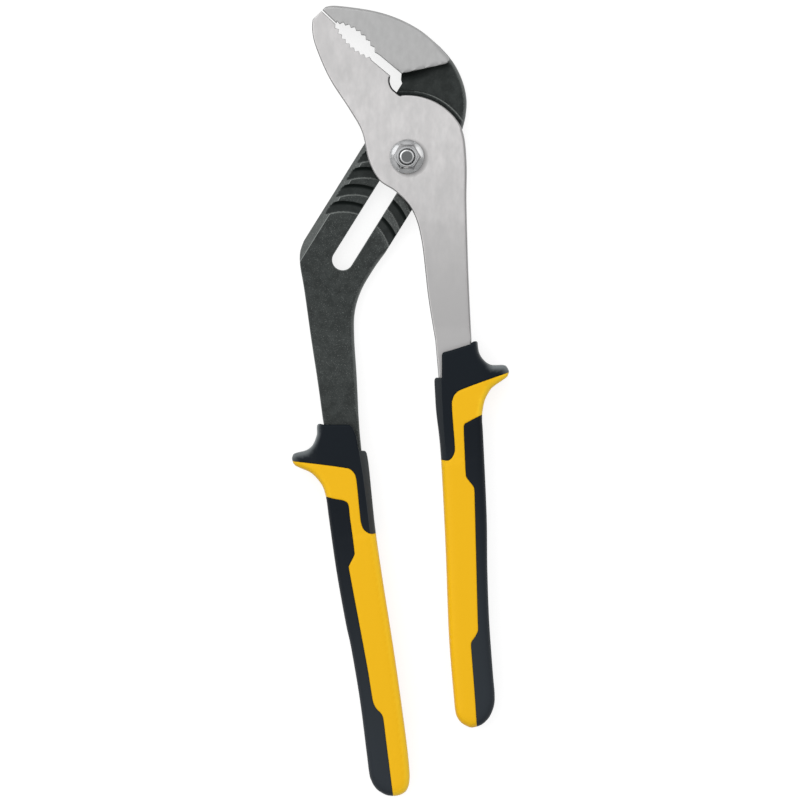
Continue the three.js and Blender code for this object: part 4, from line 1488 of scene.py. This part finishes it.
@dataclass
class Studio:
    """White table, soft light from all round, a large lamp at the upper left, and the camera overhead.

    Attributes:
        middle: point of the table under the camera.
        width: width of the picture.
        distance: height of the camera above the tool's middle.
        far: distance in metres up to which the camera sees.
        table: half the table's width.
        table_gap: distance from the tool down to the table.
        paper: web colour code of the table.
        white: light that the table adds to what it reflects, as seen directly or in a mirror.
        bright_way: direction of the dome's brightest part.
        zenith: light from there.
        horizon: light from the sides.
        strip_way: direction of a bright strip at the right.
        strip: light that it adds.
        lamp: power of the lamp in watts.
        lamp_size: width of the lamp in metres.
        lamp_place: place of the lamp in metres.
    """

    middle: Pair = (-2.66, -93.83)
    width: float = 308.8
    distance: float = 12000.0
    far: float = 40.0
    table: float = 8000.0
    table_gap: float = 0.4
    paper: str = "#A0A0A0"
    white: float = 0.78
    bright_way: tuple[float, float, float] = (-0.22, 0.2, 0.955)
    zenith: float = 0.95
    horizon: float = 0.46
    strip_way: tuple[float, float, float] = (0.82, 0.38, 0.42)
    strip: float = 0.5
    lamp: float = 7.0
    lamp_size: float = 1.5
    lamp_place: tuple[float, float, float] = (-0.62, 0.42, 0.85)

    def build(self) -> None:
        """Adds table, lights and camera to the scene."""
        bpy.context.scene.view_settings.view_transform = "Standard"
        self.build_table()
        self.build_dome()
        self.build_lamp()
        self.build_camera()

    def build_table(self) -> None:
        """Sheet just below the tool, which shows white but keeps the tool's shadow."""
        x, y = np.array([(-1, -1), (1, -1), (1, 1), (-1, 1)]).T * self.table * MM
        mesh = bpy.data.meshes.new("table")
        mesh.from_pydata(np.c_[x, y, np.full(4, -self.table_gap * MM)].tolist(), [], [(0, 1, 2, 3)])
        table = bpy.data.objects.new("table", mesh)
        bpy.context.scene.collection.objects.link(table)
        paper = bpy.data.materials.new("white paper sheet")
        paper.use_nodes = True
        tree = paper.node_tree
        shader = tree.nodes["Principled BSDF"].inputs
        shader["Base Color"].default_value = linear(self.paper)
        shader["Roughness"].default_value = 0.9
        shader["Specular IOR Level"].default_value = 0.0
        shader["Emission Color"].default_value = linear("#FFFFFF")
        path = add_node(tree, "ShaderNodeLightPath", {}).outputs
        seen = path["Is Camera Ray"]
        for ray in ("Is Glossy Ray", "Is Transmission Ray"):
            either = add_node(tree, "ShaderNodeMath", {0: seen, 1: path[ray]}, operation="MAXIMUM")
            seen = either.outputs["Value"]
        glow = add_node(tree, "ShaderNodeMath", {0: seen, 1: self.white}, operation="MULTIPLY")
        tree.links.new(glow.outputs["Value"], shader["Emission Strength"])
        mesh.materials.append(paper)

    def build_dome(self) -> None:
        """Dome that is brightest overhead and a little to the upper left, with a strip at the right."""
        world = bpy.data.worlds.new("studio dome")
        bpy.context.scene.world = world
        world.use_nodes = True
        tree = world.node_tree
        place = add_node(tree, "ShaderNodeTexCoord", {})
        lights = []
        for way, low, high, dim, bright in ((self.bright_way, 0.1, 0.95, self.horizon, self.zenith),
                                            (self.strip_way, 0.8, 0.95, 0.0, self.strip)):
            facing = add_node(tree, "ShaderNodeVectorMath", {0: place.outputs["Generated"], 1: way},
                              operation="DOT_PRODUCT")
            light = add_node(tree, "ShaderNodeMapRange", {
                "Value": facing.outputs["Value"], "From Min": low, "From Max": high, "To Min": dim,
                "To Max": bright}, interpolation_type="SMOOTHSTEP")
            lights.append(light.outputs["Result"])
        glow = add_node(tree, "ShaderNodeMath", {0: lights[0], 1: lights[1]}, operation="ADD")
        background = tree.nodes["Background"].inputs
        background["Color"].default_value = linear("#FFFFFF")
        tree.links.new(glow.outputs["Value"], background["Strength"])

    def build_lamp(self) -> None:
        """Softbox that is turned to the middle of the tool."""
        softbox = bpy.data.lights.new("softbox", "AREA")
        softbox.shape = "SQUARE"
        softbox.size = self.lamp_size
        softbox.energy = self.lamp
        lamp = bpy.data.objects.new("softbox", softbox)
        lamp.location = self.lamp_place
        aim = Vector((*self.middle, 0)) * MM - Vector(self.lamp_place)
        lamp.rotation_euler = aim.to_track_quat("-Z", "Y").to_euler()
        bpy.context.scene.collection.objects.link(lamp)

    def build_camera(self) -> None:
        """Camera straight above, far enough away that heights hardly show."""
        data = bpy.data.cameras.new("camera")
        data.lens = data.sensor_width * self.distance / self.width
        data.clip_end = self.far
        camera = bpy.data.objects.new("camera", data)
        camera.location = Vector((*self.middle, self.distance + Level.MIDDLE)) * MM
        bpy.context.scene.collection.objects.link(camera)
        bpy.context.scene.camera = camera


def main() -> None:
    """Builds and dresses each part of the tool and lights it."""
    logging.basicConfig(level=logging.INFO, format="%(name)s: %(message)s")
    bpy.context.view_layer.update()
    for part in (FrontLever(), SlottedLever(), Pivot(), left_grip(), right_grip()):
        part.dress(part.build())
    Studio().build()


if __name__ == "__main__":
    main()
